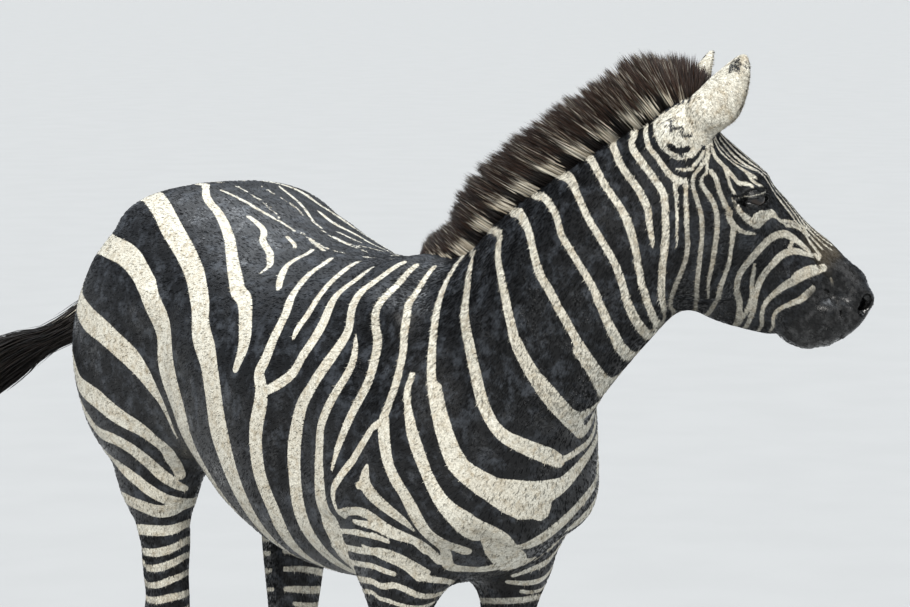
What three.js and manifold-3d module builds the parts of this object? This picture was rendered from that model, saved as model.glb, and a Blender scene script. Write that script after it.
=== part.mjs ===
// A plains zebra standing still, life size: trunk square over its legs, neck bent round to the animal's
// left, head lowered a little, tail swung out behind to the right. Millimetres, +Z up, +X is the animal's
// left and -Y the way its trunk faces. The origin is on the floor under the middle of the whole model.
//
// The flesh is one smooth field: limbs given by cross-sections, blended into each other. Each piece is a
// sphere mesh whose rows are cross-sections and whose columns are rays, pushed out to that field, and
// flat cuts part it from its neighbours.
import * as THREE from "three";
import { mergeVertices } from "three/addons/utils/BufferGeometryUtils.js";
import Module from "manifold-3d";

const wasm = await Module();
wasm.setup();

// ---- driving dimensions ----
const GAP = 0.4; // free space between neighbouring pieces
const CLEARANCE = 6; // how far the trunk stands back from the outline of the legs let into it
const CORONET = 58; // height where flesh ends and hoof begins
const KNEE_CUT = 455; // where a foreleg is divided, above the knee
const HOCK_CUT = 560; // where a hind leg is divided, above the hock
// Places on the head: along it, out from its middle, up from its top line.
const EYE = { radius: 21, place: [178, 78, -67] };
const CHEEK = { centre: [182, 56, -172], radii: [100, 34, 92] };
// In the same axes: the way the ear stands and the way it opens. The cup is scooped from in front of it.
const EAR = {
  length: 168,
  place: [52, 50, -52],
  lean: [-0.36, 0.26, 0.9],
  opens: [0.86, 0.5, 0],
  halfWidth: 43,
  bow: 14,
  wall: 7,
  cupAhead: 22,
};
const POLL = new THREE.Vector3(160, -800, 1550); // top of the head between the ears
const HEAD_TURN = 68.5; // degrees that the head is turned left of the trunk
const HEAD_DROP = 44; // degrees that the head's top line slopes down
const MANE_HALF_THICKNESS = 24;
// How much further than its top a hoof's sole reaches out, in front and behind, and how far forward it is.
const HOOF = { out: 9, toe: 17, heel: 4, forward: 8, roundness: 2.2 };

// ---- cross-sections ----
// Each row: place along the axis, side and up of the centre, half width, reach up and reach down from the
// centre, and the roundness above and below (2 is an ellipse, more is boxier, less is more pointed).
const TRUNK = [
  [660, 0, 1100, 160, 145, 140, 2.2, 2.0],
  [560, 0, 1095, 225, 208, 240, 2.3, 2.0],
  [430, 0, 1080, 250, 248, 300, 2.3, 2.0],
  [300, 0, 1045, 262, 262, 300, 2.2, 2.1],
  [180, 0, 1005, 283, 258, 305, 2.2, 2.2],
  [60, 0, 970, 300, 264, 315, 2.1, 2.2],
  [-60, 0, 955, 303, 272, 323, 2.1, 2.2],
  [-180, 0, 960, 288, 271, 322, 2.0, 2.2],
  [-300, 0, 955, 256, 268, 302, 1.9, 2.1],
  [-400, 0, 930, 214, 255, 262, 1.9, 2.0],
  [-490, 0, 915, 180, 220, 214, 2.0, 2.0],
  [-555, 0, 900, 140, 150, 150, 2.0, 2.0],
];
// The masses below are for the left side, with side measured from the middle of the trunk, up standing for
// forward, and the place being the height.
const HAUNCH = [
  [745, 145, -480, 66, 72, 82, 2.0, 2.0],
  [800, 150, -483, 100, 112, 132, 2.1, 2.1],
  [870, 152, -485, 126, 160, 180, 2.2, 2.2],
  [960, 145, -485, 144, 205, 215, 2.3, 2.3],
  [1060, 130, -485, 152, 205, 226, 2.3, 2.3],
  [1165, 108, -478, 142, 170, 202, 2.2, 2.2],
  [1235, 85, -460, 112, 120, 160, 2.1, 2.1],
];
const SHOULDER = [
  [700, 118, 352, 58, 72, 92, 2.0, 2.0],
  [780, 130, 362, 76, 98, 120, 2.1, 2.1],
  [880, 138, 380, 88, 118, 138, 2.2, 2.2],
  [980, 130, 376, 88, 112, 140, 2.2, 2.2],
  [1080, 105, 345, 84, 95, 130, 2.1, 2.1],
  [1170, 70, 305, 66, 70, 100, 2.0, 2.0],
];
const FORELEG = [
  [CORONET, 106, 350, 36, 40, 38, 2.2, 2.2],
  [92, 106, 341, 27, 29, 30, 2.1, 2.1],
  [128, 106, 330, 31, 32, 38, 2.1, 2.1],
  [152, 106, 324, 33, 33, 42, 2.1, 2.1],
  [185, 106, 324, 26, 26, 33, 2.1, 2.1],
  [250, 107, 326, 24, 24, 31, 2.1, 2.1],
  [330, 108, 328, 27, 27, 34, 2.1, 2.1],
  [368, 109, 331, 38, 38, 38, 2.3, 2.3],
  [415, 110, 332, 42, 42, 40, 2.3, 2.3],
  [460, 111, 331, 40, 42, 42, 2.1, 2.1],
  [530, 114, 331, 43, 48, 52, 2.1, 2.1],
  [610, 118, 332, 50, 59, 67, 2.0, 2.0],
  [690, 124, 336, 60, 74, 86, 2.0, 2.0],
  [770, 132, 346, 70, 88, 104, 2.0, 2.0],
];
const HINDLEG = [
  [CORONET, 106, -478, 37, 41, 40, 2.2, 2.2],
  [92, 106, -492, 28, 30, 31, 2.1, 2.1],
  [128, 106, -509, 32, 33, 40, 2.1, 2.1],
  [152, 106, -517, 34, 34, 43, 2.1, 2.1],
  [190, 106, -519, 27, 27, 35, 2.1, 2.1],
  [270, 107, -521, 25, 27, 34, 2.1, 2.1],
  [350, 108, -522, 29, 31, 38, 2.1, 2.1],
  [410, 109, -522, 38, 44, 48, 2.2, 2.2],
  [460, 110, -518, 42, 52, 62, 2.2, 2.1],
  [500, 112, -512, 40, 54, 68, 2.1, 1.8],
  [545, 118, -512, 44, 60, 66, 2.0, 1.8],
  [600, 125, -509, 51, 66, 68, 2.0, 1.9],
  [670, 133, -502, 58, 70, 70, 2.0, 2.0],
  [750, 144, -490, 78, 90, 96, 2.0, 2.0],
];
const HEAD = [
  [0, 0, -76, 64, 64, 121, 2.0, 2.0],
  [60, 0, -82, 80, 62, 158, 2.0, 2.0],
  [120, 0, -88, 91, 70, 176, 2.0, 1.9],
  [180, 0, -88, 94, 75, 182, 2.1, 1.8],
  [240, 0, -96, 82, 83, 170, 2.1, 1.8],
  [300, 0, -106, 65, 91, 142, 1.9, 1.9],
  [350, 0, -110, 55, 101, 112, 1.9, 2.0],
  [390, 0, -105, 53, 108, 94, 2.1, 2.1],
  [425, 0, -98, 57, 94, 88, 2.3, 2.2],
  [455, 0, -95, 56, 77, 72, 2.3, 2.2],
  [478, 0, -92, 46, 54, 50, 2.3, 2.2],
];
// The neck's rows: side, back and height of the centre, half width, reach to the crest, reach to the throat
// and the two roundnesses.
const NECK = [
  [0, -340, 975, 170, 205, 235, 1.9, 2.0],
  [0, -430, 1035, 156, 200, 222, 1.8, 2.0],
  [2, -520, 1110, 136, 192, 198, 1.7, 2.0],
  [12, -600, 1183, 116, 182, 180, 1.7, 2.0],
  [42, -680, 1262, 102, 168, 166, 1.7, 2.0],
  [86, -745, 1335, 92, 152, 156, 1.8, 2.0],
  [136, -792, 1408, 82, 132, 142, 1.9, 2.0],
  [178, -818, 1470, 70, 104, 110, 2.0, 2.0],
];
// The mane's hair: share of the way from the withers to between the ears, and height above the crest.
const MANE = [
  [0.1, 10],
  [0.18, 62],
  [0.3, 84],
  [0.5, 92],
  [0.7, 88],
  [0.82, 84],
  [0.92, 70],
  [1, 34],
];
const FORELOCK = 0.8; // share of the mane that stands on the neck, before the rest fans over the poll
// The tail, root to tip, in the neck's terms: a fleshy dock, then the tuft of hair that grows from it.
const TAIL = [
  [0, 600, 1175, 40, 40, 40, 2, 2],
  [-4, 680, 1172, 36, 34, 34, 2, 2],
  [-22, 760, 1130, 27, 27, 27, 2, 2],
  [-62, 815, 1072, 22, 22, 22, 2, 2],
  [-120, 848, 1022, 20, 20, 20, 2, 2],
  [-190, 868, 985, 21, 24, 25, 2, 2],
  [-260, 880, 960, 35, 44, 56, 2, 2],
  [-340, 884, 922, 42, 48, 66, 2, 2],
  [-415, 874, 866, 40, 44, 60, 2, 2],
  [-472, 856, 800, 28, 30, 42, 2, 2],
  [-504, 838, 735, 9, 10, 14, 2, 2],
];
const DOCK_SHARE = 0.49; // how much of the tail is dock
const BLEND = { neck: 90, shoulder: 70, haunch: 80, leg: 45, head: 40, cheek: 30 };
const CAP = { trunk: 60, neck: 60, mass: 70, leg: 40, head: 24, tail: 12 }; // length of the rounded ends

// ---- fineness of the meshes ----
const RINGS = { trunk: 23, head: 18, neck: 15, legUpper: 9, legLower: 15, dock: 14, tuft: 12, mane: 16 };
const COLUMNS = { trunk: 32, head: 24, neck: 26, leg: 12, hoof: 18, tail: 12, ear: 14, mane: 12, eye: 16 };
// How far a piece may reach past its own outline into what it is blended with.
const FILLET = { trunkUp: 120, trunkDown: 30, neck: 110, head: 60, leg: 60 };
const STEP = 8; // length of a ray's steps

const THIGH_FROM = 420; // height where a stouter leg starts to swell

// ---- flat cuts ----
// A place on each cut and the way it faces, from the trunk's side to the other.
const NECK_CUT = { place: new THREE.Vector3(0, -345, 1260), facing: new THREE.Vector3(0, -0.76, 0.65) };
const LEG_CUT = { height: 606, rise: 0.72 }; // how high it stands in the middle, and its rise to each side

// ---- fields ----
// Resamples rows at even steps with a cubic through them, so that a section can be looked up at any place.
function sections(rows, samples = 96) {
  const first = rows[0][0];
  const last = rows[rows.length - 1][0];
  const slope = (i, c) => {
    const a = rows[Math.max(i - 1, 0)];
    const b = rows[Math.min(i + 1, rows.length - 1)];
    return (b[c] - a[c]) / (b[0] - a[0]);
  };
  const table = [];
  for (let n = 0; n <= samples; n++) {
    const at = first + ((last - first) * n) / samples;
    let i = 0;
    while (i < rows.length - 2 && (at - rows[i + 1][0]) * Math.sign(last - first) > 0) i++;
    const span = rows[i + 1][0] - rows[i][0];
    const t = (at - rows[i][0]) / span;
    const row = [];
    for (let c = 1; c < rows[0].length; c++) {
      row.push(
        (2 * t ** 3 - 3 * t ** 2 + 1) * rows[i][c] +
          (t ** 3 - 2 * t ** 2 + t) * span * slope(i, c) +
          (3 * t ** 2 - 2 * t ** 3) * rows[i + 1][c] +
          (t ** 3 - t ** 2) * span * slope(i + 1, c),
      );
    }
    table.push(row);
  }
  const at = (place) => {
    const x = THREE.MathUtils.clamp((place - first) / (last - first), 0, 1) * samples;
    const i = Math.min(Math.floor(x), samples - 1);
    return table[i].map((v, c) => v + (table[i + 1][c] - v) * (x - i));
  };
  return { at, first, last };
}

// Distance out from the section's edge, for a point side and up of the centre and beyond an end by past.
function fromSection(side, up, [, , width, rise, fall, above, below], past, cap) {
  const r = Math.hypot(side, up) || 1e-6;
  const n = up > 0 ? above : below;
  const tall = up > 0 ? rise : fall;
  const edge = (Math.abs(side / r / width) ** n + Math.abs(up / r / tall) ** n) ** (-1 / n);
  return past > 0 ? edge * (Math.hypot(r / edge, past / cap) - 1) : r - edge;
}

// A limb whose sections stand square to one straight axis, with rounded ends cap long.
function straightLimb(axes, rows, cap) {
  const table = sections(rows);
  const low = Math.min(table.first, table.last);
  const high = Math.max(table.first, table.last);
  return (p) => {
    const q = p.clone().sub(axes.origin);
    const place = q.dot(axes.along);
    const s = table.at(place);
    const past = Math.max(low - place, place - high, 0);
    return fromSection(q.dot(axes.side) - s[0], q.dot(axes.up) - s[1], s, past, cap);
  };
}

// A limb whose sections stand square to a curved centre line.
function bentLimb(rows, cap, steps = 48) {
  const curve = new THREE.CatmullRomCurve3(rows.map(([x, y, z]) => new THREE.Vector3(x, y, z)));
  const table = sections(rows.map((row, i) => [i, 0, 0, ...row.slice(3)]));
  const points = curve.getPoints(steps);
  const frame = (t) => {
    const ahead = curve.getTangent(t);
    const side = new THREE.Vector3(0, 0, 1).cross(ahead).normalize();
    return { centre: curve.getPoint(t), ahead, side, up: ahead.clone().cross(side) };
  };
  const frames = points.map((_, i) => frame(i / steps));
  const section = (t) => table.at(t * (rows.length - 1));
  const field = (p) => {
    let best = Infinity;
    let at = 0;
    const step = new THREE.Vector3();
    const q = new THREE.Vector3();
    for (let i = 0; i < steps; i++) {
      step.subVectors(points[i + 1], points[i]);
      q.subVectors(p, points[i]);
      const t = THREE.MathUtils.clamp(q.dot(step) / step.lengthSq(), 0, 1);
      const d = q.addScaledVector(step, -t).lengthSq();
      if (d < best) {
        best = d;
        at = i + t;
      }
    }
    const i = Math.min(Math.floor(at), steps - 1);
    const { side, up, ahead } = frames[Math.round(at)];
    q.subVectors(p, points[i]).addScaledVector(step.subVectors(points[i + 1], points[i]), i - at);
    const past = at <= 0 || at >= steps ? Math.abs(q.dot(ahead)) : 0;
    return fromSection(q.dot(side), q.dot(up), section(at / steps), past, cap);
  };
  return { field, frame, section };
}

// An ellipsoid's distance, in the same axes as a straight limb.
function lump(axes, centre, radii) {
  return (p) => {
    const q = p.clone().sub(axes.origin);
    const local = [q.dot(axes.along), q.dot(axes.side), q.dot(axes.up)].map((v, i) => v - centre[i]);
    const k = Math.hypot(...local.map((v, i) => v / radii[i]));
    const m = Math.hypot(...local.map((v, i) => v / radii[i] ** 2)) || 1e-6;
    return (k * (k - 1)) / m;
  };
}

// The smooth join of two distances, filleted over a width k.
function join(a, b, k) {
  const h = Math.max(k - Math.abs(a - b), 0) / k;
  return Math.min(a, b) - (h * h * k) / 4;
}

const X = new THREE.Vector3(1, 0, 0);
const Y = new THREE.Vector3(0, 1, 0);
const Z = new THREE.Vector3(0, 0, 1);
const trunkAxes = { origin: new THREE.Vector3(), along: Y, side: X, up: Z };
const legAxes = (sign) => ({
  origin: new THREE.Vector3(),
  along: Z,
  side: X.clone().multiplyScalar(sign),
  up: Y.clone().negate(),
});
const turn = THREE.MathUtils.degToRad(HEAD_TURN);
const drop = THREE.MathUtils.degToRad(HEAD_DROP);
const ahead = new THREE.Vector3(Math.sin(turn), -Math.cos(turn), 0);
const headAxes = {
  origin: POLL,
  along: ahead.clone().multiplyScalar(Math.cos(drop)).addScaledVector(Z, -Math.sin(drop)),
  side: new THREE.Vector3(Math.cos(turn), Math.sin(turn), 0),
  up: ahead.clone().multiplyScalar(Math.sin(drop)).addScaledVector(Z, Math.cos(drop)),
};
const inHead = ([along, out, up], sign = 1) =>
  new THREE.Vector3()
    .addScaledVector(headAxes.along, along)
    .addScaledVector(headAxes.side, out * sign)
    .addScaledVector(headAxes.up, up);
const HEAD_CUT = { place: inHead([2, 0, 0]).add(POLL), facing: inHead([0.81, 0, 0.585]) };

// A leg's rows: moved out and forward, leant so that the hoof stands stride further forward than the top,
// with the middle joints sunk and the flesh above them stouter.
function leant(rows, { out = 0, forward = 0, stride = 0, sink = 0, stout = 0 }) {
  const top = rows[rows.length - 1][0];
  return rows.map(([z, side, ahead, width, front, back, ...rest]) => {
    const lean = 1 - z / top;
    const height = z - sink * Math.sin(Math.PI * lean) ** 2;
    const fuller = 1 + stout * THREE.MathUtils.smoothstep(z, THIGH_FROM, HOCK_CUT);
    const moved = [side + out, ahead + forward + stride * lean];
    return [height, ...moved, width * fuller, front * fuller, back * fuller, ...rest];
  });
}
const LEGS = {
  fore_right: { rows: FORELEG, sign: -1, cut: KNEE_CUT },
  fore_left: { rows: leant(FORELEG, { stride: 20 }), sign: 1, cut: KNEE_CUT },
  hind_right: { rows: HINDLEG, sign: -1, cut: HOCK_CUT },
  hind_left: {
    rows: leant(HINDLEG, { out: 14, forward: 36, stride: 160, sink: 45, stout: 0.2 }),
    sign: 1,
    cut: HOCK_CUT,
  },
};

const barrel = straightLimb(trunkAxes, TRUNK, CAP.trunk);
const neck = bentLimb(NECK, CAP.neck);
const tail = bentLimb(TAIL, CAP.tail);
const skull = straightLimb(headAxes, HEAD, CAP.head);
const cheeks = [1, -1].map((sign) => {
  const [along, out, up] = CHEEK.centre;
  return lump(headAxes, [along, sign * out, up], CHEEK.radii);
});
const masses = [1, -1].flatMap((sign) => [
  { field: straightLimb(legAxes(sign), HAUNCH, CAP.mass), blend: BLEND.haunch },
  { field: straightLimb(legAxes(sign), SHOULDER, CAP.mass), blend: BLEND.shoulder },
]);
for (const leg of Object.values(LEGS)) leg.field = straightLimb(legAxes(leg.sign), leg.rows, CAP.leg);

const trunkField = (p) => masses.reduce((d, m) => join(d, m.field(p), m.blend), barrel(p));
const headField = (p) => cheeks.reduce((d, cheek) => join(d, cheek(p), BLEND.cheek), skull(p));
const bodyField = (p) => {
  let d = join(trunkField(p), neck.field(p), BLEND.neck);
  for (const leg of Object.values(LEGS)) d = join(d, leg.field(p), BLEND.leg);
  return join(d, headField(p), BLEND.head);
};

// ---- meshes ----
// How far a ray from start goes before it leaves its own field, and then at most extra more in the body.
function reach(start, way, own, extra) {
  const at = (r) => start.clone().addScaledVector(way, r);
  let r = STEP;
  while (own(at(r)) < 0) r += STEP;
  const limit = r + extra;
  while (r < limit && bodyField(at(r)) < 0) r += STEP;
  let [low, high] = [r - 2 * STEP, r];
  for (let i = 0; i < 12; i++) {
    const middle = (low + high) / 2;
    if (bodyField(at(middle)) < 0) low = middle;
    else high = middle;
  }
  return (low + high) / 2;
}

// A closed solid from a three.js geometry.
function solid(geometry) {
  const bare = new THREE.BufferGeometry().setAttribute("position", geometry.getAttribute("position"));
  const merged = mergeVertices(bare.setIndex(geometry.index), 1e-3);
  const corners = merged.index.array;
  const triangles = [];
  for (let i = 0; i < corners.length; i += 3) {
    const [a, b, c] = [corners[i], corners[i + 1], corners[i + 2]];
    if (a !== b && b !== c && c !== a) triangles.push(a, b, c);
  }
  const vertProperties = new Float32Array(merged.attributes.position.array);
  const built = (triVerts) =>
    new wasm.Manifold(new wasm.Mesh({ numProp: 3, vertProperties, triVerts: new Uint32Array(triVerts) }));
  const made = built(triangles);
  return made.volume() > 0 ? made : built(triangles.reverse());
}

// A sphere mesh with one row for each ring, whose first and last rings are single points.
function ringed(rings, columns, radius) {
  const mesh = new THREE.SphereGeometry(1, columns, rings.length - 1);
  const place = mesh.getAttribute("position");
  rings.forEach((ring, row) => {
    const pole = row === 0 || row === rings.length - 1;
    for (let c = 0; c <= columns; c++) {
      const angle = ((c % columns) / columns) * 2 * Math.PI;
      const way = ring.side.clone().multiplyScalar(Math.cos(angle)).addScaledVector(ring.up, Math.sin(angle));
      const p = pole ? ring.centre : ring.centre.clone().addScaledVector(way, radius(ring, way, angle));
      place.setXYZ(row * (columns + 1) + c, p.x, p.y, p.z);
    }
  });
  return solid(mesh);
}

// The same with flat ends, in the planes of its first and last rings.
const flatEnded = (rings, columns, radius) =>
  ringed([rings[0], ...rings, rings[rings.length - 1]], columns, radius);

// Half of all space, as a large block: the side of a plane that it faces.
function halfSpace({ place, facing }, shift = 0) {
  const size = 4000;
  const block = new THREE.BoxGeometry(size, size, size).translate(0, 0, size / 2 + shift);
  block.applyQuaternion(new THREE.Quaternion().setFromUnitVectors(Z, facing.clone().normalize()));
  return solid(block.translate(place.x, place.y, place.z));
}
const behind = ({ place, facing }, shift = 0) => halfSpace({ place, facing: facing.clone().negate() }, shift);

function evenly(from, to, count) {
  return Array.from({ length: count }, (_, i) => from + ((to - from) * i) / (count - 1));
}

// Rings along a straight limb's axis at the given places.
function straightRings(axes, rows, places) {
  const table = sections(rows);
  return places.map((place) => {
    const [side, up] = table.at(place);
    const centre = axes.origin.clone().addScaledVector(axes.along, place);
    centre.addScaledVector(axes.side, side).addScaledVector(axes.up, up);
    return { centre, side: axes.side, up: axes.up };
  });
}

const onBody = (own, extra, grow) => (ring, way) => reach(ring.centre, way, own, extra) + grow;

// A straight limb's rings with a point at each end, where its axis leaves the body.
function roundEnded(rings, along, own, grow) {
  const tip = (ring, way) => {
    const far = reach(ring.centre, way, own, 0) + grow;
    return { ...ring, centre: ring.centre.clone().addScaledVector(way, far) };
  };
  return [tip(rings[0], along.clone().negate()), ...rings, tip(rings[rings.length - 1], along)];
}

// Each flesh solid can be made grown, to cut room for itself from what lies against it.
function trunkSolid(grow = 0) {
  const [back, front] = [TRUNK[0][0], TRUNK[TRUNK.length - 1][0]];
  const places = [front - 56, front - 38, ...evenly(front, back, RINGS.trunk), back + 38, back + 54];
  const rings = straightRings(trunkAxes, TRUNK, places);
  const extra = (way) => (way.z > 0 ? FILLET.trunkUp : FILLET.trunkDown);
  const outline = (ring, way) => reach(ring.centre, way, trunkField, extra(way)) + grow;
  return ringed(roundEnded(rings, Y, trunkField, grow), COLUMNS.trunk, outline);
}

function headSolid(grow = 0) {
  const rings = straightRings(headAxes, HEAD, [...evenly(-10, 470, RINGS.head), 484, 494]);
  const outline = onBody(headField, FILLET.head, grow);
  return ringed(roundEnded(rings, headAxes.along, headField, grow), COLUMNS.head, outline);
}

function neckSolid(grow = 0) {
  const rings = evenly(0.02, 1, RINGS.neck).map((t) => neck.frame(t));
  return flatEnded(rings, COLUMNS.neck, onBody(neck.field, FILLET.neck, grow));
}

// A leg's flesh between two heights.
function legSolid(leg, from, to, count, grow = 0) {
  const rings = straightRings(legAxes(leg.sign), leg.rows, evenly(from - grow, to, count));
  return flatEnded(rings, COLUMNS.leg, onBody(leg.field, FILLET.leg, grow));
}

// The sloping cut at a leg's top, which rises outward from the middle of the trunk.
const legCut = (sign) => ({
  place: new THREE.Vector3(0, 0, LEG_CUT.height),
  facing: new THREE.Vector3(sign * LEG_CUT.rise, 0, -1),
});

// A length of the tail, whose own section is its outline.
function tailSolid(from, to, count) {
  const rings = evenly(from, to, count).map((t) => ({ ...tail.frame(t), size: tail.section(t) }));
  return flatEnded(rings, COLUMNS.tail, ({ size }, way, angle) => {
    const [, , width, rise, fall] = size;
    return 1 / Math.hypot(Math.cos(angle) / width, Math.sin(angle) / (angle < Math.PI ? rise : fall));
  });
}

// A hoof: an upright oval that widens to its flat sole and slopes forward at the toe.
function hoofSolid(leg) {
  const [, side, ahead, width, front, back] = leg.rows[0];
  const rings = [CORONET - GAP, CORONET - 12, 22, 0].map((height) => {
    const flare = 1 - height / CORONET;
    return {
      centre: new THREE.Vector3(leg.sign * side, -(ahead + HOOF.forward * flare), height),
      side: X,
      up: Y.clone().negate(),
      size: [width + HOOF.out * flare, front + HOOF.toe * flare, back + HOOF.heel * flare],
    };
  });
  const n = HOOF.roundness;
  return flatEnded(rings, COLUMNS.hoof, ({ size: [width, front, back] }, way, angle) => {
    const tall = angle < Math.PI ? front : back;
    return (Math.abs(Math.cos(angle) / width) ** n + Math.abs(Math.sin(angle) / tall) ** n) ** (-1 / n);
  });
}

function eyeSolid(sign, grow = 0) {
  const ball = new THREE.SphereGeometry(EYE.radius + grow, COLUMNS.eye, 10);
  const place = inHead(EYE.place, sign).add(POLL);
  return solid(ball.translate(place.x, place.y, place.z));
}

// An ear: a leaf-shaped solid, its front scooped out to a cup.
function earSolid(sign) {
  const root = inHead(EAR.place, sign).add(POLL);
  const axis = inHead(EAR.lean, sign).normalize();
  const mouth = inHead(EAR.opens, sign);
  mouth.addScaledVector(axis, -mouth.dot(axis)).normalize();
  const across = axis.clone().cross(mouth);
  const tip = 2;
  const leaf = (t) => {
    const swell = Math.sin(Math.PI * Math.min(0.3 + 0.7 * t, 1) ** 1.1) ** 0.6;
    return tip + (EAR.halfWidth - tip) * swell;
  };
  const ring = (t) => {
    const centre = root.clone().addScaledVector(axis, t * EAR.length);
    centre.addScaledVector(mouth, EAR.bow * t * (1 - t));
    return { centre, side: across, up: mouth, wide: leaf(t) };
  };
  const oval = (thin, less) => (r, way, angle) =>
    Math.max(r.wide - less, 1) / Math.hypot(Math.cos(angle), Math.sin(angle) / thin);
  const shell = [-0.1, 0.05, 0.2, 0.4, 0.6, 0.75, 0.88, 0.96, 1].map(ring);
  const scooped = (r) => ({ ...r, centre: r.centre.clone().addScaledVector(mouth, EAR.cupAhead) });
  const cup = flatEnded(shell.slice(2).map(scooped), COLUMNS.ear, oval(0.8, EAR.wall));
  return flatEnded(shell, COLUMNS.ear, oval(0.7, 0)).subtract(cup);
}

// The mane stands on the crest as a fin, then fans forward over the poll to between the ears.
function maneSolid() {
  const heights = sections(MANE);
  const end = neck.frame(1);
  const crestOf = ({ centre, up }) => centre.clone().addScaledVector(up, reach(centre, up, neck.field, 60));
  const rooted = 14; // how deep the hair's outline starts under the crest
  const poll = inHead([34, 0, 0]).add(POLL);
  const rings = evenly(MANE[0][0], 1, RINGS.mane).map((share) => {
    const fan = Math.max(share - FORELOCK, 0) / (1 - FORELOCK);
    const frame = fan > 0 ? end : neck.frame(share / FORELOCK);
    const root = crestOf(frame).lerp(poll, fan);
    const up = frame.up.clone().lerp(headAxes.up, fan * 0.8).normalize();
    const tall = (heights.at(share)[0] + rooted) / 2;
    return { centre: root.addScaledVector(up, tall - rooted), side: frame.side, up, tall };
  });
  return flatEnded(rings, COLUMNS.mane, ({ tall }, way, angle) =>
    1 / Math.hypot(Math.cos(angle) / MANE_HALF_THICKNESS, Math.sin(angle) / tall),
  );
}

// ---- pieces ----
const pieces = new Map();
const sides = { left: 1, right: -1 };
const half = GAP / 2; // each side of a cut stands back by this

let trunk = trunkSolid().intersect(behind(NECK_CUT, half));
for (const [name, leg] of Object.entries(LEGS)) {
  const top = leg.rows[leg.rows.length - 1][0] + 30;
  const upper = (grow) => legSolid(leg, leg.cut, top, RINGS.legUpper, grow);
  pieces.set(`${name}_upper`, upper(0).intersect(halfSpace(legCut(leg.sign), half)));
  pieces.set(`${name}_lower`, legSolid(leg, CORONET, leg.cut - GAP, RINGS.legLower));
  pieces.set(`hoof_${name}`, hoofSolid(leg));
  trunk = trunk.subtract(upper(CLEARANCE).intersect(halfSpace(legCut(leg.sign), -half)));
}
pieces.set("trunk", trunk);

let head = headSolid().intersect(halfSpace(HEAD_CUT, half));
pieces.set("neck", neckSolid().intersect(halfSpace(NECK_CUT, half)).intersect(behind(HEAD_CUT, half)));

const [trunkRoom, neckRoom, headRoom] = [trunkSolid(GAP), neckSolid(GAP), headSolid(GAP)];
for (const [side, sign] of Object.entries(sides)) {
  pieces.set(`eye_${side}`, eyeSolid(sign));
  head = head.subtract(eyeSolid(sign, GAP));
  pieces.set(`ear_${side}`, earSolid(sign).subtract(headRoom).subtract(neckRoom));
}
pieces.set("head", head);
pieces.set("mane", maneSolid().subtract(neckRoom).subtract(headRoom).subtract(trunkRoom));
pieces.set("tail_dock", tailSolid(0, DOCK_SHARE, RINGS.dock).subtract(trunkRoom));
pieces.set("tail_tuft", tailSolid(DOCK_SHARE + GAP / 1000, 1, RINGS.tuft));

// ---- finishes ----
const hide = { color: 0x5a544b, roughness: 0.75 };
const FINISH = {
  eye: { color: 0x1c120c, roughness: 0.12 },
  ear: { color: 0xd8d2c4, roughness: 0.8 },
  hoof: { color: 0x3d3833, roughness: 0.5 },
  mane: { color: 0x2c2420, roughness: 0.9 },
  tail: { color: 0x1b1a1d, roughness: 0.85 },
};

const zebra = new THREE.Group();
for (const [name, made] of pieces) {
  const largest = made.decompose().sort((a, b) => b.volume() - a.volume())[0];
  const { vertProperties, triVerts, numProp } = largest.getMesh();
  const geometry = new THREE.BufferGeometry()
    .setAttribute("position", new THREE.BufferAttribute(new Float32Array(vertProperties), numProp))
    .setIndex(new THREE.BufferAttribute(new Uint32Array(triVerts), 1));
  const finish = FINISH[name.split("_")[0]] ?? hide;
  const mesh = new THREE.Mesh(geometry, new THREE.MeshStandardMaterial({ metalness: 0, ...finish }));
  mesh.name = name;
  zebra.add(mesh);
}
const box = new THREE.Box3().setFromObject(zebra);
zebra.position.set(-(box.min.x + box.max.x) / 2, -(box.min.y + box.max.y) / 2, -box.min.z);
export default zebra;
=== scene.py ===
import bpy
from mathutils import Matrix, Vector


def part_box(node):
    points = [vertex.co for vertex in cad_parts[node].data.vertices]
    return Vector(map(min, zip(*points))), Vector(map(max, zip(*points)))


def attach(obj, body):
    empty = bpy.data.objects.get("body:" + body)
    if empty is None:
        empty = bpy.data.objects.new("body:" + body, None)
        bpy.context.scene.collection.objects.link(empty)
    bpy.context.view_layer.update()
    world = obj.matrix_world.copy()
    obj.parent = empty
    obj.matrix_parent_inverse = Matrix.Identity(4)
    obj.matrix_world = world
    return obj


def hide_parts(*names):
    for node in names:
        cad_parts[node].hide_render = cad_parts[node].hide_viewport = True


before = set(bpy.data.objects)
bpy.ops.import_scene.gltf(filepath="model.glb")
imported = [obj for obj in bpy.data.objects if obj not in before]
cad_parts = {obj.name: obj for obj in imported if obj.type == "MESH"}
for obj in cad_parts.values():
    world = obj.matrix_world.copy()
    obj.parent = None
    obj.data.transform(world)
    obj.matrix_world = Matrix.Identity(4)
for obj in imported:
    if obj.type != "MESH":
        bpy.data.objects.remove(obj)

"""A life-size still model of a plains zebra, built as an add-on.

Shapes are worked out in millimetres in the body's own frame (+X the animal's left, -Y ahead, +Z up, the
spine in X = 0) and are put into the frame's metres by to_frame() at the last moment.
"""
import math

import bpy
import numpy as np
from bpy.props import FloatProperty, FloatVectorProperty, IntProperty, PointerProperty
from mathutils import Matrix, Vector

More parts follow.
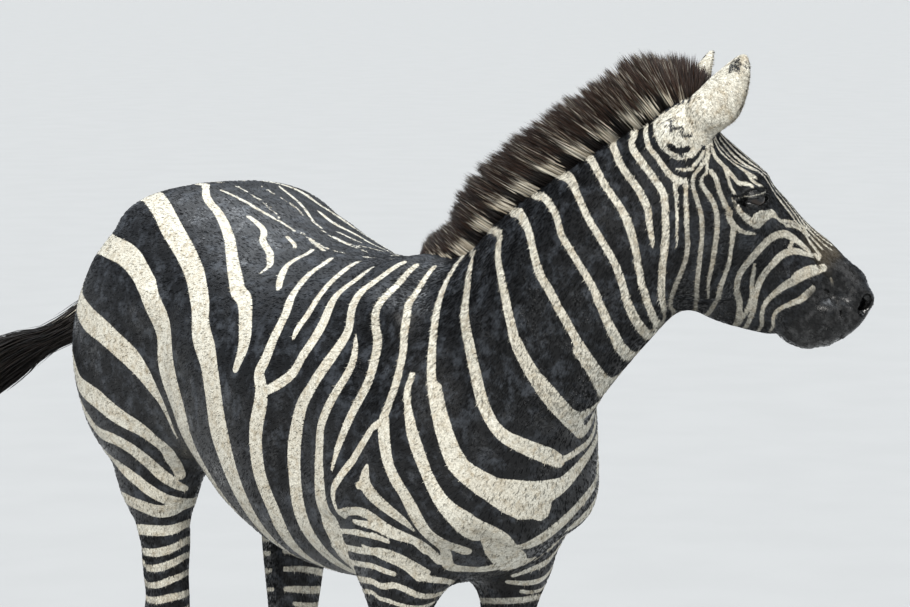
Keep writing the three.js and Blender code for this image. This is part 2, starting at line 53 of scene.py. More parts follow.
bl_info = {
    "name": "Plains zebra",
    "version": (1, 0, 0),
    "blender": (4, 5, 0),
    "location": "View3D > Sidebar > Zebra",
    "description": "Builds a life-size striped zebra round its packed frame",
    "category": "Object",
}
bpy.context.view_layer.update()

# ---- Flesh: cross-sections carried along axes
# Each row: place along the axis, side and up of the centre, half width, reach up, reach down and the
# roundness above and below.
CORONET = 58
TRUNK = (
    (660, 0, 1100, 160, 145, 140, 2.2, 2.0), (560, 0, 1095, 225, 208, 240, 2.3, 2.0),
    (430, 0, 1080, 250, 248, 300, 2.3, 2.0), (300, 0, 1045, 262, 262, 300, 2.2, 2.1),
    (180, 0, 1005, 283, 258, 305, 2.2, 2.2), (60, 0, 970, 300, 264, 315, 2.1, 2.2),
    (-60, 0, 955, 303, 272, 323, 2.1, 2.2), (-180, 0, 960, 288, 271, 322, 2.0, 2.2),
    (-300, 0, 955, 256, 268, 302, 1.9, 2.1), (-400, 0, 930, 214, 255, 262, 1.9, 2.0),
    (-490, 0, 915, 180, 220, 214, 2.0, 2.0), (-555, 0, 900, 140, 150, 150, 2.0, 2.0),
)
HAUNCH = (
    (745, 145, -480, 66, 72, 82, 2.0, 2.0), (800, 150, -483, 100, 112, 132, 2.1, 2.1),
    (870, 152, -485, 126, 160, 180, 2.2, 2.2), (960, 145, -485, 144, 205, 215, 2.3, 2.3),
    (1060, 130, -485, 152, 205, 226, 2.3, 2.3), (1165, 108, -478, 142, 170, 202, 2.2, 2.2),
    (1235, 85, -460, 112, 120, 160, 2.1, 2.1),
)
SHOULDER = (
    (700, 118, 352, 58, 72, 92, 2.0, 2.0), (780, 130, 362, 76, 98, 120, 2.1, 2.1),
    (880, 138, 380, 88, 118, 138, 2.2, 2.2), (980, 130, 376, 88, 112, 140, 2.2, 2.2),
    (1080, 105, 345, 84, 95, 130, 2.1, 2.1), (1170, 70, 305, 66, 70, 100, 2.0, 2.0),
)
FORELEG = (
    (CORONET, 106, 350, 36, 40, 38, 2.2, 2.2), (92, 106, 341, 27, 29, 30, 2.1, 2.1),
    (128, 106, 330, 31, 32, 38, 2.1, 2.1), (152, 106, 324, 33, 33, 42, 2.1, 2.1),
    (185, 106, 324, 26, 26, 33, 2.1, 2.1), (250, 107, 326, 24, 24, 31, 2.1, 2.1),
    (330, 108, 328, 27, 27, 34, 2.1, 2.1), (368, 109, 331, 38, 38, 38, 2.3, 2.3),
    (415, 110, 332, 42, 42, 40, 2.3, 2.3), (460, 111, 331, 40, 42, 42, 2.1, 2.1),
    (530, 114, 331, 43, 48, 52, 2.1, 2.1), (610, 118, 332, 50, 59, 67, 2.0, 2.0),
    (690, 124, 336, 60, 74, 86, 2.0, 2.0), (770, 132, 346, 70, 88, 104, 2.0, 2.0),
)
HINDLEG = (
    (CORONET, 106, -478, 37, 41, 40, 2.2, 2.2), (92, 106, -492, 28, 30, 31, 2.1, 2.1),
    (128, 106, -509, 32, 33, 40, 2.1, 2.1), (152, 106, -517, 34, 34, 43, 2.1, 2.1),
    (190, 106, -519, 27, 27, 35, 2.1, 2.1), (270, 107, -521, 25, 27, 34, 2.1, 2.1),
    (350, 108, -522, 29, 31, 38, 2.1, 2.1), (410, 109, -522, 38, 44, 48, 2.2, 2.2),
    (460, 110, -518, 42, 52, 62, 2.2, 2.1), (500, 112, -512, 40, 54, 68, 2.1, 1.8),
    (545, 118, -512, 44, 60, 66, 2.0, 1.8), (600, 125, -509, 51, 66, 68, 2.0, 1.9),
    (670, 133, -502, 58, 70, 70, 2.0, 2.0), (750, 144, -490, 78, 90, 96, 2.0, 2.0),
)
HEAD = (
    (0, 0, -76, 64, 64, 121, 2.0, 2.0), (60, 0, -82, 80, 62, 158, 2.0, 2.0),
    (120, 0, -88, 91, 70, 176, 2.0, 1.9), (180, 0, -88, 94, 75, 182, 2.1, 1.8),
    (240, 0, -96, 82, 83, 170, 2.1, 1.8), (300, 0, -106, 65, 91, 142, 1.9, 1.9),
    (350, 0, -110, 55, 101, 112, 1.9, 2.0), (390, 0, -105, 53, 108, 94, 2.1, 2.1),
    (425, 0, -98, 57, 94, 88, 2.3, 2.2), (455, 0, -95, 56, 77, 72, 2.3, 2.2),
    (478, 0, -92, 46, 54, 50, 2.3, 2.2),
)
# Side, back and height of the centre, half width, reach to the crest or upward, reach to the throat or
# downward, and the two roundnesses.
NECK = (
    (0, -340, 975, 170, 205, 235, 1.9, 2.0), (0, -430, 1035, 156, 200, 222, 1.8, 2.0),
    (2, -520, 1110, 136, 192, 198, 1.7, 2.0), (12, -600, 1183, 116, 182, 180, 1.7, 2.0),
    (42, -680, 1262, 102, 168, 166, 1.7, 2.0), (86, -745, 1335, 92, 152, 156, 1.8, 2.0),
    (136, -792, 1408, 82, 132, 142, 1.9, 2.0), (178, -818, 1470, 70, 104, 110, 2.0, 2.0),
)
TAIL = (
    (0, 600, 1175, 40, 40, 40, 2, 2), (-4, 680, 1172, 36, 34, 34, 2, 2), (-22, 760, 1130, 27, 27, 27, 2, 2),
    (-62, 815, 1072, 22, 22, 22, 2, 2), (-120, 848, 1022, 20, 20, 20, 2, 2),
    (-190, 868, 985, 21, 24, 25, 2, 2), (-260, 880, 960, 35, 44, 56, 2, 2),
    (-340, 884, 922, 42, 48, 66, 2, 2), (-415, 874, 866, 40, 44, 60, 2, 2),
    (-472, 856, 800, 28, 30, 42, 2, 2), (-504, 838, 735, 9, 10, 14, 2, 2),
)
BONY_TAIL = 6  # how many of the tail's rows are dock rather than hair
# Share along the mane, and the height of the hair there.
MANE = ((0.1, 10), (0.18, 62), (0.3, 84), (0.5, 92), (0.7, 88), (0.82, 84), (0.92, 70), (1.0, 34))
MANE_ON_NECK = 0.8  # share of the mane that stands on the neck, before the rest fans over the poll
BLEND = {"neck": 90, "shoulder": 70, "haunch": 80, "leg": 45, "head": 40, "cheek": 30, "tail": 34}
CAP = {"trunk": 60, "neck": 60, "mass": 70, "leg": 40, "head": 24, "tail": 12}

MM = 1000  # millimetres in one of the frame's units
POLL = np.array((160.0, -800.0, 1550.0))
HEAD_TURN, HEAD_DROP = math.radians(68.5), math.radians(44)
EYE_PLACE = (178.0, 78.0, -67.0)
EYE_RADIUS = 21.0
CHEEK = (182, 56, -172)
HEAD_MIDDLE = (235, 0, -100)
# An ear: its root, the way it stands and the way it opens, in the head's axes.
EAR = {
    "place": (41, 50, -63), "lean": (-0.27, 0.26, 0.928), "opens": (0.86, -0.42, 0),
    "length": 165, "half_width": 47, "bow": 14,
}
HOOF = {"out": 9, "toe": 17, "heel": 4, "forward": 8, "roundness": 2.2}
# White bands of the mane: share along the neck, and half width in millimetres.
MANE_BANDS = (
    (0.2, 9), (0.25, 8), (0.304, 9), (0.346, 9), (0.436, 9), (0.516, 10), (0.582, 9), (0.662, 11),
    (0.746, 9.5), (0.821, 9.5), (0.896, 9.5), (0.95, 8), (1.02, 8), (1.09, 7),
)
NECK_LENGTH = 760
MANE_LENGTH = 820
MANE_CLUMPS = 90


def unit(v):
    """Each vector divided by its length."""
    v = np.asarray(v, float)
    return v / np.maximum(np.linalg.norm(v, axis=-1, keepdims=True), 1e-9)


_ahead = np.array((math.sin(HEAD_TURN), -math.cos(HEAD_TURN), 0.0))
_up = np.array((0.0, 0.0, 1.0))
HEAD_ALONG = _ahead * math.cos(HEAD_DROP) - _up * math.sin(HEAD_DROP)
HEAD_SIDE = np.array((math.cos(HEAD_TURN), math.sin(HEAD_TURN), 0.0))
HEAD_UP = _ahead * math.sin(HEAD_DROP) + _up * math.cos(HEAD_DROP)
HEAD_AXES = np.stack((HEAD_ALONG, HEAD_SIDE, HEAD_UP))


def in_head(p):
    """Body-frame points as places along the head, out to its left and up from its top line."""
    return (np.asarray(p, float) - POLL) @ HEAD_AXES.T


def from_head(q):
    """The other way: head places as body-frame points."""
    return POLL + np.asarray(q, float) @ HEAD_AXES


def head_way(q):
    """A direction given in the head's axes, as a body-frame unit vector."""
    return unit(np.asarray(q, float) @ HEAD_AXES)


_low, _high = (np.array(c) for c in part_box("eye_left"))
SHIFT = (_low + _high) / 2 - from_head(EYE_PLACE) / MM


def to_frame(p):
    """Body-frame millimetres as the frame's metres."""
    return np.asarray(p, float) / MM + SHIFT


def mirrored(values, sign):
    """Values given in the head's axes for the left side, on the side that sign tells."""
    return np.array(values) * (1, sign, 1)


def smoothstep(x, low, high):
    """0 below low, 1 above high, and 3t^2 - 2t^3 between."""
    t = np.clip((x - low) / (high - low), 0, 1)
    return t * t * (3 - 2 * t)


def sections(rows, count=96):
    """The rows resampled at even places by a cubic Hermite curve through them."""
    rows = np.array(rows, float)
    slopes = np.empty_like(rows)
    for i in range(len(rows)):
        a, b = rows[max(i - 1, 0)], rows[min(i + 1, len(rows) - 1)]
        slopes[i] = (b - a) / (b[0] - a[0])
    first, last = rows[0, 0], rows[-1, 0]
    at = np.linspace(first, last, count + 1)
    way = np.sign(last - first)
    i = np.clip(np.searchsorted(rows[:, 0] * way, at * way) - 1, 0, len(rows) - 2)
    span = rows[i + 1, 0] - rows[i, 0]
    t, span = ((at - rows[i, 0]) / span)[:, None], span[:, None]
    table = (2 * t**3 - 3 * t**2 + 1) * rows[i, 1:] + (t**3 - 2 * t**2 + t) * span * slopes[i, 1:]
    table += (3 * t**2 - 2 * t**3) * rows[i + 1, 1:] + (t**3 - t**2) * span * slopes[i + 1, 1:]
    return first, last, table


def section_at(table, place):
    """The section at each place, straight between samples."""
    first, last, values = table
    x = np.clip((place - first) / (last - first), 0, 1) * (len(values) - 1)
    i = np.minimum(x.astype(int), len(values) - 2)
    return values[i] + (values[i + 1] - values[i]) * (x - i)[..., None]


def rim(c, s, section):
    """Distance from a section's centre to its rim: a superellipse |c/w|^n + |s/h|^n = 1 whose height and n
    are other above the centre than below it."""
    n = np.where(s > 0, section[..., 5], section[..., 6])
    tall = np.where(s > 0, section[..., 3], section[..., 4])
    return (np.abs(c / section[..., 2]) ** n + np.abs(s / tall) ** n + 1e-12) ** (-1 / n)


def beyond(side, up, section, past, cap):
    """Distance outside a section's rim, or outside its rounded end when past is over 0."""
    r = np.hypot(side, up) + 1e-6
    edge = rim(side / r, up / r, section)
    return np.where(past > 0, edge * (np.hypot(r / edge, past / cap) - 1), r - edge)


class Straight:
    """A length of flesh whose sections stand square to one straight axis."""

    def __init__(self, axes, rows, cap):
        self.origin, self.along, self.side, self.up = (np.array(v, float) for v in axes)
        self.table, self.cap = sections(rows), cap

    def __call__(self, p):
        q = p - self.origin
        place = q @ self.along
        low, high = sorted(self.table[:2])
        section = section_at(self.table, place)
        past = np.maximum(np.maximum(low - place, place - high), 0)
        return beyond(q @ self.side - section[..., 0], q @ self.up - section[..., 1], section, past, self.cap)

    def middle(self, place):
        """The centre line, and the ways aside and up from it."""
        section = section_at(self.table, place)
        c = self.origin + place[..., None] * self.along
        c = c + section[..., 0:1] * self.side + section[..., 1:2] * self.up
        return c, np.broadcast_to(self.side, c.shape), np.broadcast_to(self.up, c.shape)

    def local(self, p):
        """Place along the axis, and angle round it from the side upward."""
        q = p - self.origin
        place = q @ self.along
        section = section_at(self.table, place)
        return place, np.arctan2(q @ self.up - section[..., 1], q @ self.side - section[..., 0])


def centripetal(points, t):
    """A centripetal Catmull-Rom curve through the points, at shares t of their count."""
    n = len(points)
    at = np.clip(np.asarray(t, float), 0, 1) * (n - 1)
    i = np.minimum(at.astype(int), n - 2)
    w = (at - i)[..., None]
    points = np.vstack((2 * points[0] - points[1], points, 2 * points[-1] - points[-2]))
    a, b, c, d = (points[i + k] for k in range(4))
    ab, bc, cd = (((q - p) ** 2).sum(-1, keepdims=True) ** 0.25 + 1e-9 for p, q in ((a, b), (b, c), (c, d)))
    out = ((b - a) / ab - (c - a) / (ab + bc) + (c - b) / bc) * bc
    into = ((c - b) / bc - (d - b) / (bc + cd) + (d - c) / cd) * bc
    return b + out * w + (3 * (c - b) - 2 * out - into) * w**2 + (2 * (b - c) + out + into) * w**3


class Bent:
    """A length of flesh whose sections stand square to a curved centre line."""

    STEPS = 48

    def __init__(self, rows, cap):
        rows = np.array(rows, float)
        self.points, self.rows, self.cap = rows[:, :3], len(rows), cap
        count = np.arange(len(rows))[:, None]
        self.table = sections(np.hstack((count, np.zeros((len(rows), 2)), rows[:, 3:])))
        self.ticks = np.linspace(0, 1, self.STEPS + 1)
        self.line = centripetal(self.points, self.ticks)
        self.frames = self.frame(self.ticks)
        margin = rows[:, 3:6].max() + 160
        self.box = self.points.min(0) - margin, self.points.max(0) + margin

    def frame(self, t):
        """Centre, way ahead, way aside and way up at shares t of the line."""
        t = np.asarray(t, float)
        ahead = unit(centripetal(self.points, t + 1e-4) - centripetal(self.points, t - 1e-4))
        side = unit(np.cross(_up, ahead))
        return centripetal(self.points, t), ahead, side, np.cross(ahead, side)

    def section(self, t):
        """The section at shares t of the line."""
        return section_at(self.table, np.asarray(t, float) * (self.rows - 1))

    def nearest(self, p):
        """For each point, the share of the nearest place on the line."""
        best, at = np.full(len(p), 1e12), np.zeros(len(p))
        for i in range(self.STEPS):
            step = self.line[i + 1] - self.line[i]
            q = p - self.line[i]
            t = np.clip(q @ step / (step @ step), 0, 1)
            d = ((q - t[:, None] * step) ** 2).sum(-1)
            closer = d < best
            best[closer], at[closer] = d[closer], i + t[closer]
        return at

    def __call__(self, p):
        flat = p.reshape(-1, 3)
        low, high = self.box
        off = np.linalg.norm(np.maximum(np.maximum(low - flat, flat - high), 0), axis=-1)
        value = off + 160
        near = off <= 0
        value[near] = self.inner(flat[near])
        return value.reshape(p.shape[:-1])

    def inner(self, p):
        at = self.nearest(p)
        i = np.minimum(at.astype(int), self.STEPS - 1)
        ahead, side, up = (v[np.rint(at).astype(int)] for v in self.frames[1:])
        q = p - self.line[i] - (self.line[i + 1] - self.line[i]) * (at - i)[:, None]
        past = np.where((at <= 0) | (at >= self.STEPS), np.abs((q * ahead).sum(-1)), 0)
        return beyond((q * side).sum(-1), (q * up).sum(-1), self.section(at / self.STEPS), past, self.cap)

    def local(self, p):
        """Share along the line, and angle round it from the side upward."""
        at = self.nearest(p)
        i = np.minimum(at.astype(int), self.STEPS - 1)
        side, up = (v[np.rint(at).astype(int)] for v in self.frames[2:])
        q = p - self.line[i] - (self.line[i + 1] - self.line[i]) * (at - i)[:, None]
        return at / self.STEPS, np.arctan2((q * up).sum(-1), (q * side).sum(-1))


def join(a, b, k):
    """The smooth union of two distances: the lesser, less h^2 k / 4 where h = max(1 - |a - b| / k, 0)."""
    h = np.maximum(k - np.abs(a - b), 0) / k
    return np.minimum(a, b) - h * h * k / 4


def carve(a, b, k):
    """The smooth difference: a less what is inside b."""
    return -join(-a, b, k)


def leg_axes(sign):
    """Origin, and the ways along, outward and forward of a leg."""
    return (0, 0, 0), (0, 0, 1), (sign, 0, 0), (0, -1, 0)


def leant(rows, out=0, forward=0, stride=0, sink=0, stout=0):
    """A leg's rows moved out and forward, leant so that the hoof is stride ahead of the top, its middle sunk
    and its thigh stouter."""
    r = np.array(rows, float)
    z = r[:, 0].copy()
    lean = 1 - z / z[-1]
    fuller = 1 + stout * smoothstep(z, 420, 560)
    r[:, 0] = z - sink * np.sin(np.pi * lean) ** 2
    r[:, 1] += out
    r[:, 2] += forward + stride * lean
    r[:, 3:6] *= fuller[:, None]
    return r


TRUNK_LIMB = Straight(((0, 0, 0), (0, 1, 0), (1, 0, 0), (0, 0, 1)), TRUNK, CAP["trunk"])
NECK_LIMB = Bent(NECK, CAP["neck"])
SKULL = Straight((POLL, HEAD_ALONG, HEAD_SIDE, HEAD_UP), HEAD, CAP["head"])
TAIL_LIMB = Bent(TAIL, CAP["tail"])
DOCK = Bent(TAIL[:BONY_TAIL], CAP["tail"])
MASSES = [
    (Straight(leg_axes(s), rows, CAP["mass"]), BLEND[name])
    for s in (1, -1)
    for rows, name in ((HAUNCH, "haunch"), (SHOULDER, "shoulder"))
]
LEG_ROWS = {
    "fore_right": (FORELEG, -1),
    "fore_left": (leant(FORELEG, stride=20), 1),
    "hind_right": (HINDLEG, -1),
    "hind_left": (leant(HINDLEG, 14, 36, 160, 45, 0.2), 1),
}
LEGS = {name: (Straight(leg_axes(s), rows, CAP["leg"]), s) for name, (rows, s) in LEG_ROWS.items()}


def egg(centre, radii, q):
    """Distance outside an ellipsoid, of points q in its own axes."""
    q = q - np.array(centre, float)
    k = np.linalg.norm(q / np.array(radii), axis=-1)
    m = np.linalg.norm(q / np.array(radii) ** 2, axis=-1) + 1e-6
    return k * (k - 1) / m


def trunk_field(p):
    """Distance outside the trunk with its haunches and shoulders."""
    d = TRUNK_LIMB(p)
    for mass, k in MASSES:
        d = join(d, mass(p), k)
    return d


def head_field(p):
    """Distance outside the head with its cheeks."""
    d = SKULL(p)
    q = in_head(p)
    for sign in (1, -1):
        d = join(d, egg(mirrored(CHEEK, sign), (100, 34, 92), q), BLEND["cheek"])
    return d


def front_field(p):
    """Distance outside the trunk and neck."""
    return join(trunk_field(p), NECK_LIMB(p), BLEND["neck"])


def body_field(p):
    """Distance outside the outline of the coat."""
    d = front_field(p)
    for leg, _ in LEGS.values():
        d = join(d, leg(p), BLEND["leg"])
    return join(d, head_field(p), BLEND["head"])


# ---- Markings: white strokes on a dark coat
# Each stroke is a row of triples on a chart of the right side, and is mirrored to the left. Trunk: place
# along it, degrees above the side, full width.
TRUNK_STROKES = (
    (712, -16, 26, 690, -6, 32, 668, 0, 36, 640, 3, 40, 605, -1, 45, 539, -4.6, 50, 464, -6.8, 48, 406,
     -8.9, 46, 360, -11.2, 46, 325, -15.1, 38, 305, -19.3, 31, 291, -24.1, 21, 289, -32, 13, 300, -42, 7),
    (700, -48, 26, 680, -36, 32, 660, -29, 36, 640, -26, 40, 600, -28, 40, 564, -30.3, 40, 474, -32, 43,
     416, -35.3, 39, 377, -39.2, 33, 363, -43.7, 27, 357, -49.4, 27, 370, -56.3, 27, 385, -63.4, 20),
    (672, -58, 20, 640, -46, 22, 600, -38, 22, 560, -40, 25, 514, -42.7, 27, 453, -43.3, 27, 419, -46.6, 29,
     406, -51.5, 29, 401, -57.4, 25, 394, -63.2, 20, 396, -68.2, 12),
    (716, 12, 22, 700, 20, 30, 665, 26, 38, 620, 27, 46, 575, 27, 48, 500, 25.8, 46, 440, 25.5, 46, 398,
     24.4, 46, 350, 21, 42, 324, 18.9, 42, 296, 16, 44, 268, 11.5, 52, 246, 5, 66, 236, -2, 80, 222, -9, 88,
     204, -16, 92, 182, -23, 90, 150, -31, 76, 108, -38, 56, 72, -50, 38, 50, -66, 24),
    (700, 52, 20, 665, 56, 26, 630, 57, 30, 590, 56, 34, 511, 55, 40, 450, 51.7, 40, 400, 48.7, 40, 350,
     44.9, 42, 250, 39, 40, 200, 35.3, 42, 150, 29.4, 45, 100, 20.3, 52, 50, 13.7, 55, 17, 5, 60, -9, -10,
     64, -31, -30, 52, -34, -50, 40, -30, -72, 26),
    (453, 73.8, 20, 426, 73.5, 18, 399, 70.6, 13, 353, 65.6, 16, 295, 63.4, 17, 218, 57.8, 20, 142, 49.4,
     24, 103, 45.3, 28, 65, 41.2, 30, 30, 39.4, 30, -24, 31.5, 32, -45, 26.5, 32, -55, 21, 30, -53, 15.5,
     22),
    (247, 71.9, 9, 192, 71.6, 12, 153, 66.2, 13, 107, 63.4, 14, 84, 60.6, 13, 63, 57.5, 12, 60, 52.5, 4),
    (374, 75, 6, 334, 76.6, 7, 261, 78.6, 7, 199, 82, 6, 161, 82.8, 6),
    (145, 77, 8, 103, 75, 8, 90, 73.4, 6), (111, 84, 8, 41, 81, 6),
    (61, 78, 8, 45, 72.5, 11, 28, 61.3, 13, 9, 56.6, 16, -12, 52.8, 16, -35, 48.9, 12),
    (-28, 75, 10, -47, 69, 14, -72, 56, 17, -97, 46, 19, -118, 39, 21, -127, 30, 25, -130, 20, 25, -124, 15,
     26, -135, 10, 30, -139, 5.6, 37, -126, -6, 36, -124, -20, 35, -127, -35, 35, -118, -42.5, 35, -108,
     -52, 34, -100, -74, 24),
    (-114, 75.6, 12, -130, 67.5, 15, -160, 54, 16, -170, 47.5, 16, -177, 40, 16, -176, 33, 14, -178, 29.5,
     8),
    (-212, 67.5, 22, -217, 52.5, 22, -226, 37.5, 21, -225, 30, 21, -215, 23.5, 20, -205, 17.5, 19, -185,
     12.8, 18, -143, 8, 17),
    (-308, 70.6, 17, -297, 65, 17, -287, 60, 19, -281, 54, 21, -285, 47.5, 21, -294, 41, 21, -293, 36, 22,
     -280, 25, 23, -253, 13, 23, -231, 5.6, 28, -212, -8, 32, -204, -23, 30, -200, -30, 32, -191, -44, 34,
     -184, -60, 30, -180, -78, 20),
    (-316, 39, 4, -328, 34, 13, -333, 29, 16, -330, 24, 17, -312, 13, 18, -295, 4, 20, -286, -1, 21, -278,
     -14, 27, -280, -20, 34, -275, -34, 43, -264, -43, 48, -256, -58, 36, -250, -76, 20),
    (-341, 72.5, 12, -342, 65, 13, -340, 58, 16, -356, 47, 19, -370, 42, 19, -382, 30, 19, -380, 24, 19,
     -362, 11.5, 17, -341, -1, 15, -330, -7, 13, -320, -16, 6),
    (-372, 76, 9, -378, 71, 10, -391, 58, 13, -405, 54, 14, -430, 43, 15, -439, 31, 15, -435, 19, 16, -431,
     14, 18, -441, 3, 19, -462, -11, 22, -483, -24, 20, -492, -37, 21, -499, -43, 23, -508, -58, 25),
    (-431, 14, 12, -412, 9.5, 12, -399, 4, 13, -368, -8, 15, -337, -18.5, 15, -326, -22, 14, -320, -27, 10,
     -321, -32, 10),
    (-458, 38, 4, -467, 30, 9, -474, 23, 13, -489, 12, 17, -505, 0, 17, -518, -13, 19, -530, -26, 25, -543,
     -40, 36, -549, -48, 38),
    (-404, -7.5, 8, -399, -11, 18, -397, -15.6, 26, -408, -20, 28, -428, -24, 24, -458, -32, 15, -465, -36,
     6),
    (-383, -17, 14, -397, -16, 14),
    (-324, -33, 12, -328, -31, 18, -343, -29, 20, -385, -29.4, 20, -424, -35, 20, -458, -42, 18, -465, -46,
     18, -462, -58, 18),
    (-330, -39, 7, -347, -38, 10, -393, -38, 10, -416, -39.7, 4),
    (-351, -43, 8, -374, -43.4, 10, -397, -43.4, 12, -424, -47.5, 14, -437, -55, 13, -439, -59, 12),
)
# Neck: share along it, degrees above the side, full width.
NECK_STROKES = (
    (.312, 90, 14, .304, 76, 14, .284, 60, 14, .265, 40, 15, .252, 20, 15, .2425, 10, 16, .218, -10, 17,
     .195, -30, 18, .185, -40, 19, .177, -50, 23),
    (.343, 90, 14, .35, 75, 14, .379, 67, 15, .371, 60, 15, .355, 40, 20, .335, 20, 22, .3196, 0, 23, .296,
     -20, 23, .27, -40, 21, .259, -50, 19),
    (.436, 90, 13, .4375, 77, 13, .46, 71, 14, .469, 64, 14, .456, 47, 15, .449, 30, 16, .4375, 10, 17,
     .421, -10, 18, .401, -30, 19, .385, -50, 22, .368, -66, 27, .344, -82, 31, .333, -90, 32),
    (.512, 90, 17, .517, 75, 17, .534, 69, 17, .542, 50, 15, .531, 30, 15, .521, 10, 16, .517, -10, 15,
     .508, -30, 15, .494, -50, 15, .476, -66, 18, .454, -80, 22, .442, -88, 23),
    (.578, 90, 14, .583, 75, 14, .602, 68, 13, .61, 50, 13, .598, 30, 12, .596, 10, 12, .591, -10, 12, .583,
     -30, 13, .566, -47, 14, .548, -62, 16, .525, -78, 20, .515, -88, 21),
    (.655, 90, 20, .6625, 77, 20, .676, 69, 17, .672, 50, 12, .663, 30, 12, .659, 10, 12, .653, -10, 12,
     .642, -30, 12, .621, -48, 13, .6, -62, 15, .581, -77, 16, .57, -88, 16),
    (.744, 90, 14, .746, 77, 14, .747, 70, 13, .7375, 50, 12, .73, 20, 12, .725, 10, 12, .71, -10, 13, .692,
     -27, 12, .669, -43, 12, .644, -59, 12, .617, -76, 12, .605, -88, 12),
    (.825, 90, 14, .821, 77, 14, .808, 70, 13, .792, 50, 12, .782, 20, 12, .768, 0, 12, .754, -10, 11, .73,
     -27, 8, .721, -33, 3),
    (.896, 85, 14, .875, 70, 13, .846, 61.7, 12, .833, 40, 12, .821, 13, 12, .8125, 0, 12, .783, -17, 12,
     .75, -33, 12, .71, -47.5, 11, .671, -63, 10, .642, -77, 10),
)
# Round the swelling under the ear: place along the head, height over its top line, full width.
ROOT_STROKES = (
    (-44, -44, 30, -38, -56, 20, -34, -70, 12, -33, -90, 10, -27, -109, 9, -14, -125, 9, 4, -131, 9, 25,
     -135, 9, 42, -139, 10, 56, -137, 10, 68, -129, 9),
)
# Front of the chest: place to the animal's left, height, full width. These aren't mirrored.
CHEST_STROKES = (
    (-166, 1040, 26, -166, 1000, 28, -160, 950, 32, -150, 915, 36, -131, 890, 40, -102, 870, 45, -72, 857,
     62, -43, 848, 72, -20, 840, 54, -9, 826, 36, -5, 816, 14),
    (-30, 858, 50, 0, 862, 42, 28, 871, 32, 54, 889, 27, 86, 913, 20, 110, 932, 16, 150, 970, 16, 172, 1020,
     18, 176, 1080, 20),
    (-127, 1075, 14, -122, 1025, 17, -111, 990, 19, -93, 965, 22, -68, 950, 26, -43, 938, 28, -10, 925, 30,
     15, 913, 22),
    (15, 914, 12, 48, 925, 13, 98, 948, 12, 124, 1000, 15, 134, 1080, 16, 140, 1140, 14),
    (-95, 1130, 22, -81, 1090, 23, -60, 1055, 25, -35, 1025, 28, -2, 995, 30, 32, 975, 26, 65, 962, 24, 98,
     1000, 20, 108, 1090, 18),
    (-27, 1120, 20, -2, 1090, 24, 32, 1055, 25, 65, 1040, 24, 98, 1100, 18),
    (-183, 1060, 12, -195, 1030, 12, -198, 1000, 13, -192, 930, 16, -183, 895, 18, -167, 865, 20, -147, 840,
     22, -122, 820, 24, -72, 780, 28, -27, 748, 30),
    (-220, 985, 12, -222, 910, 13, -213, 870, 14, -197, 835, 15, -177, 805, 16, -131, 758, 18, -100, 714,
     22, -60, 706, 24, -20, 716, 30),
    (-197, 740, 15, -168, 720, 15, -139, 695, 15),
    (-84, 778, 26, -52, 752, 56, -20, 730, 60, 10, 712, 50, 40, 716, 30),
    (183, 1060, 12, 196, 1000, 13, 190, 930, 16, 165, 882, 20, 120, 850, 22, 89, 829, 23, 42, 797, 25, 4,
     770, 27, -30, 754, 28, -60, 748, 28),
    (222, 985, 12, 220, 910, 13, 197, 835, 15, 177, 805, 16, 131, 758, 18, 93, 710, 20),
)
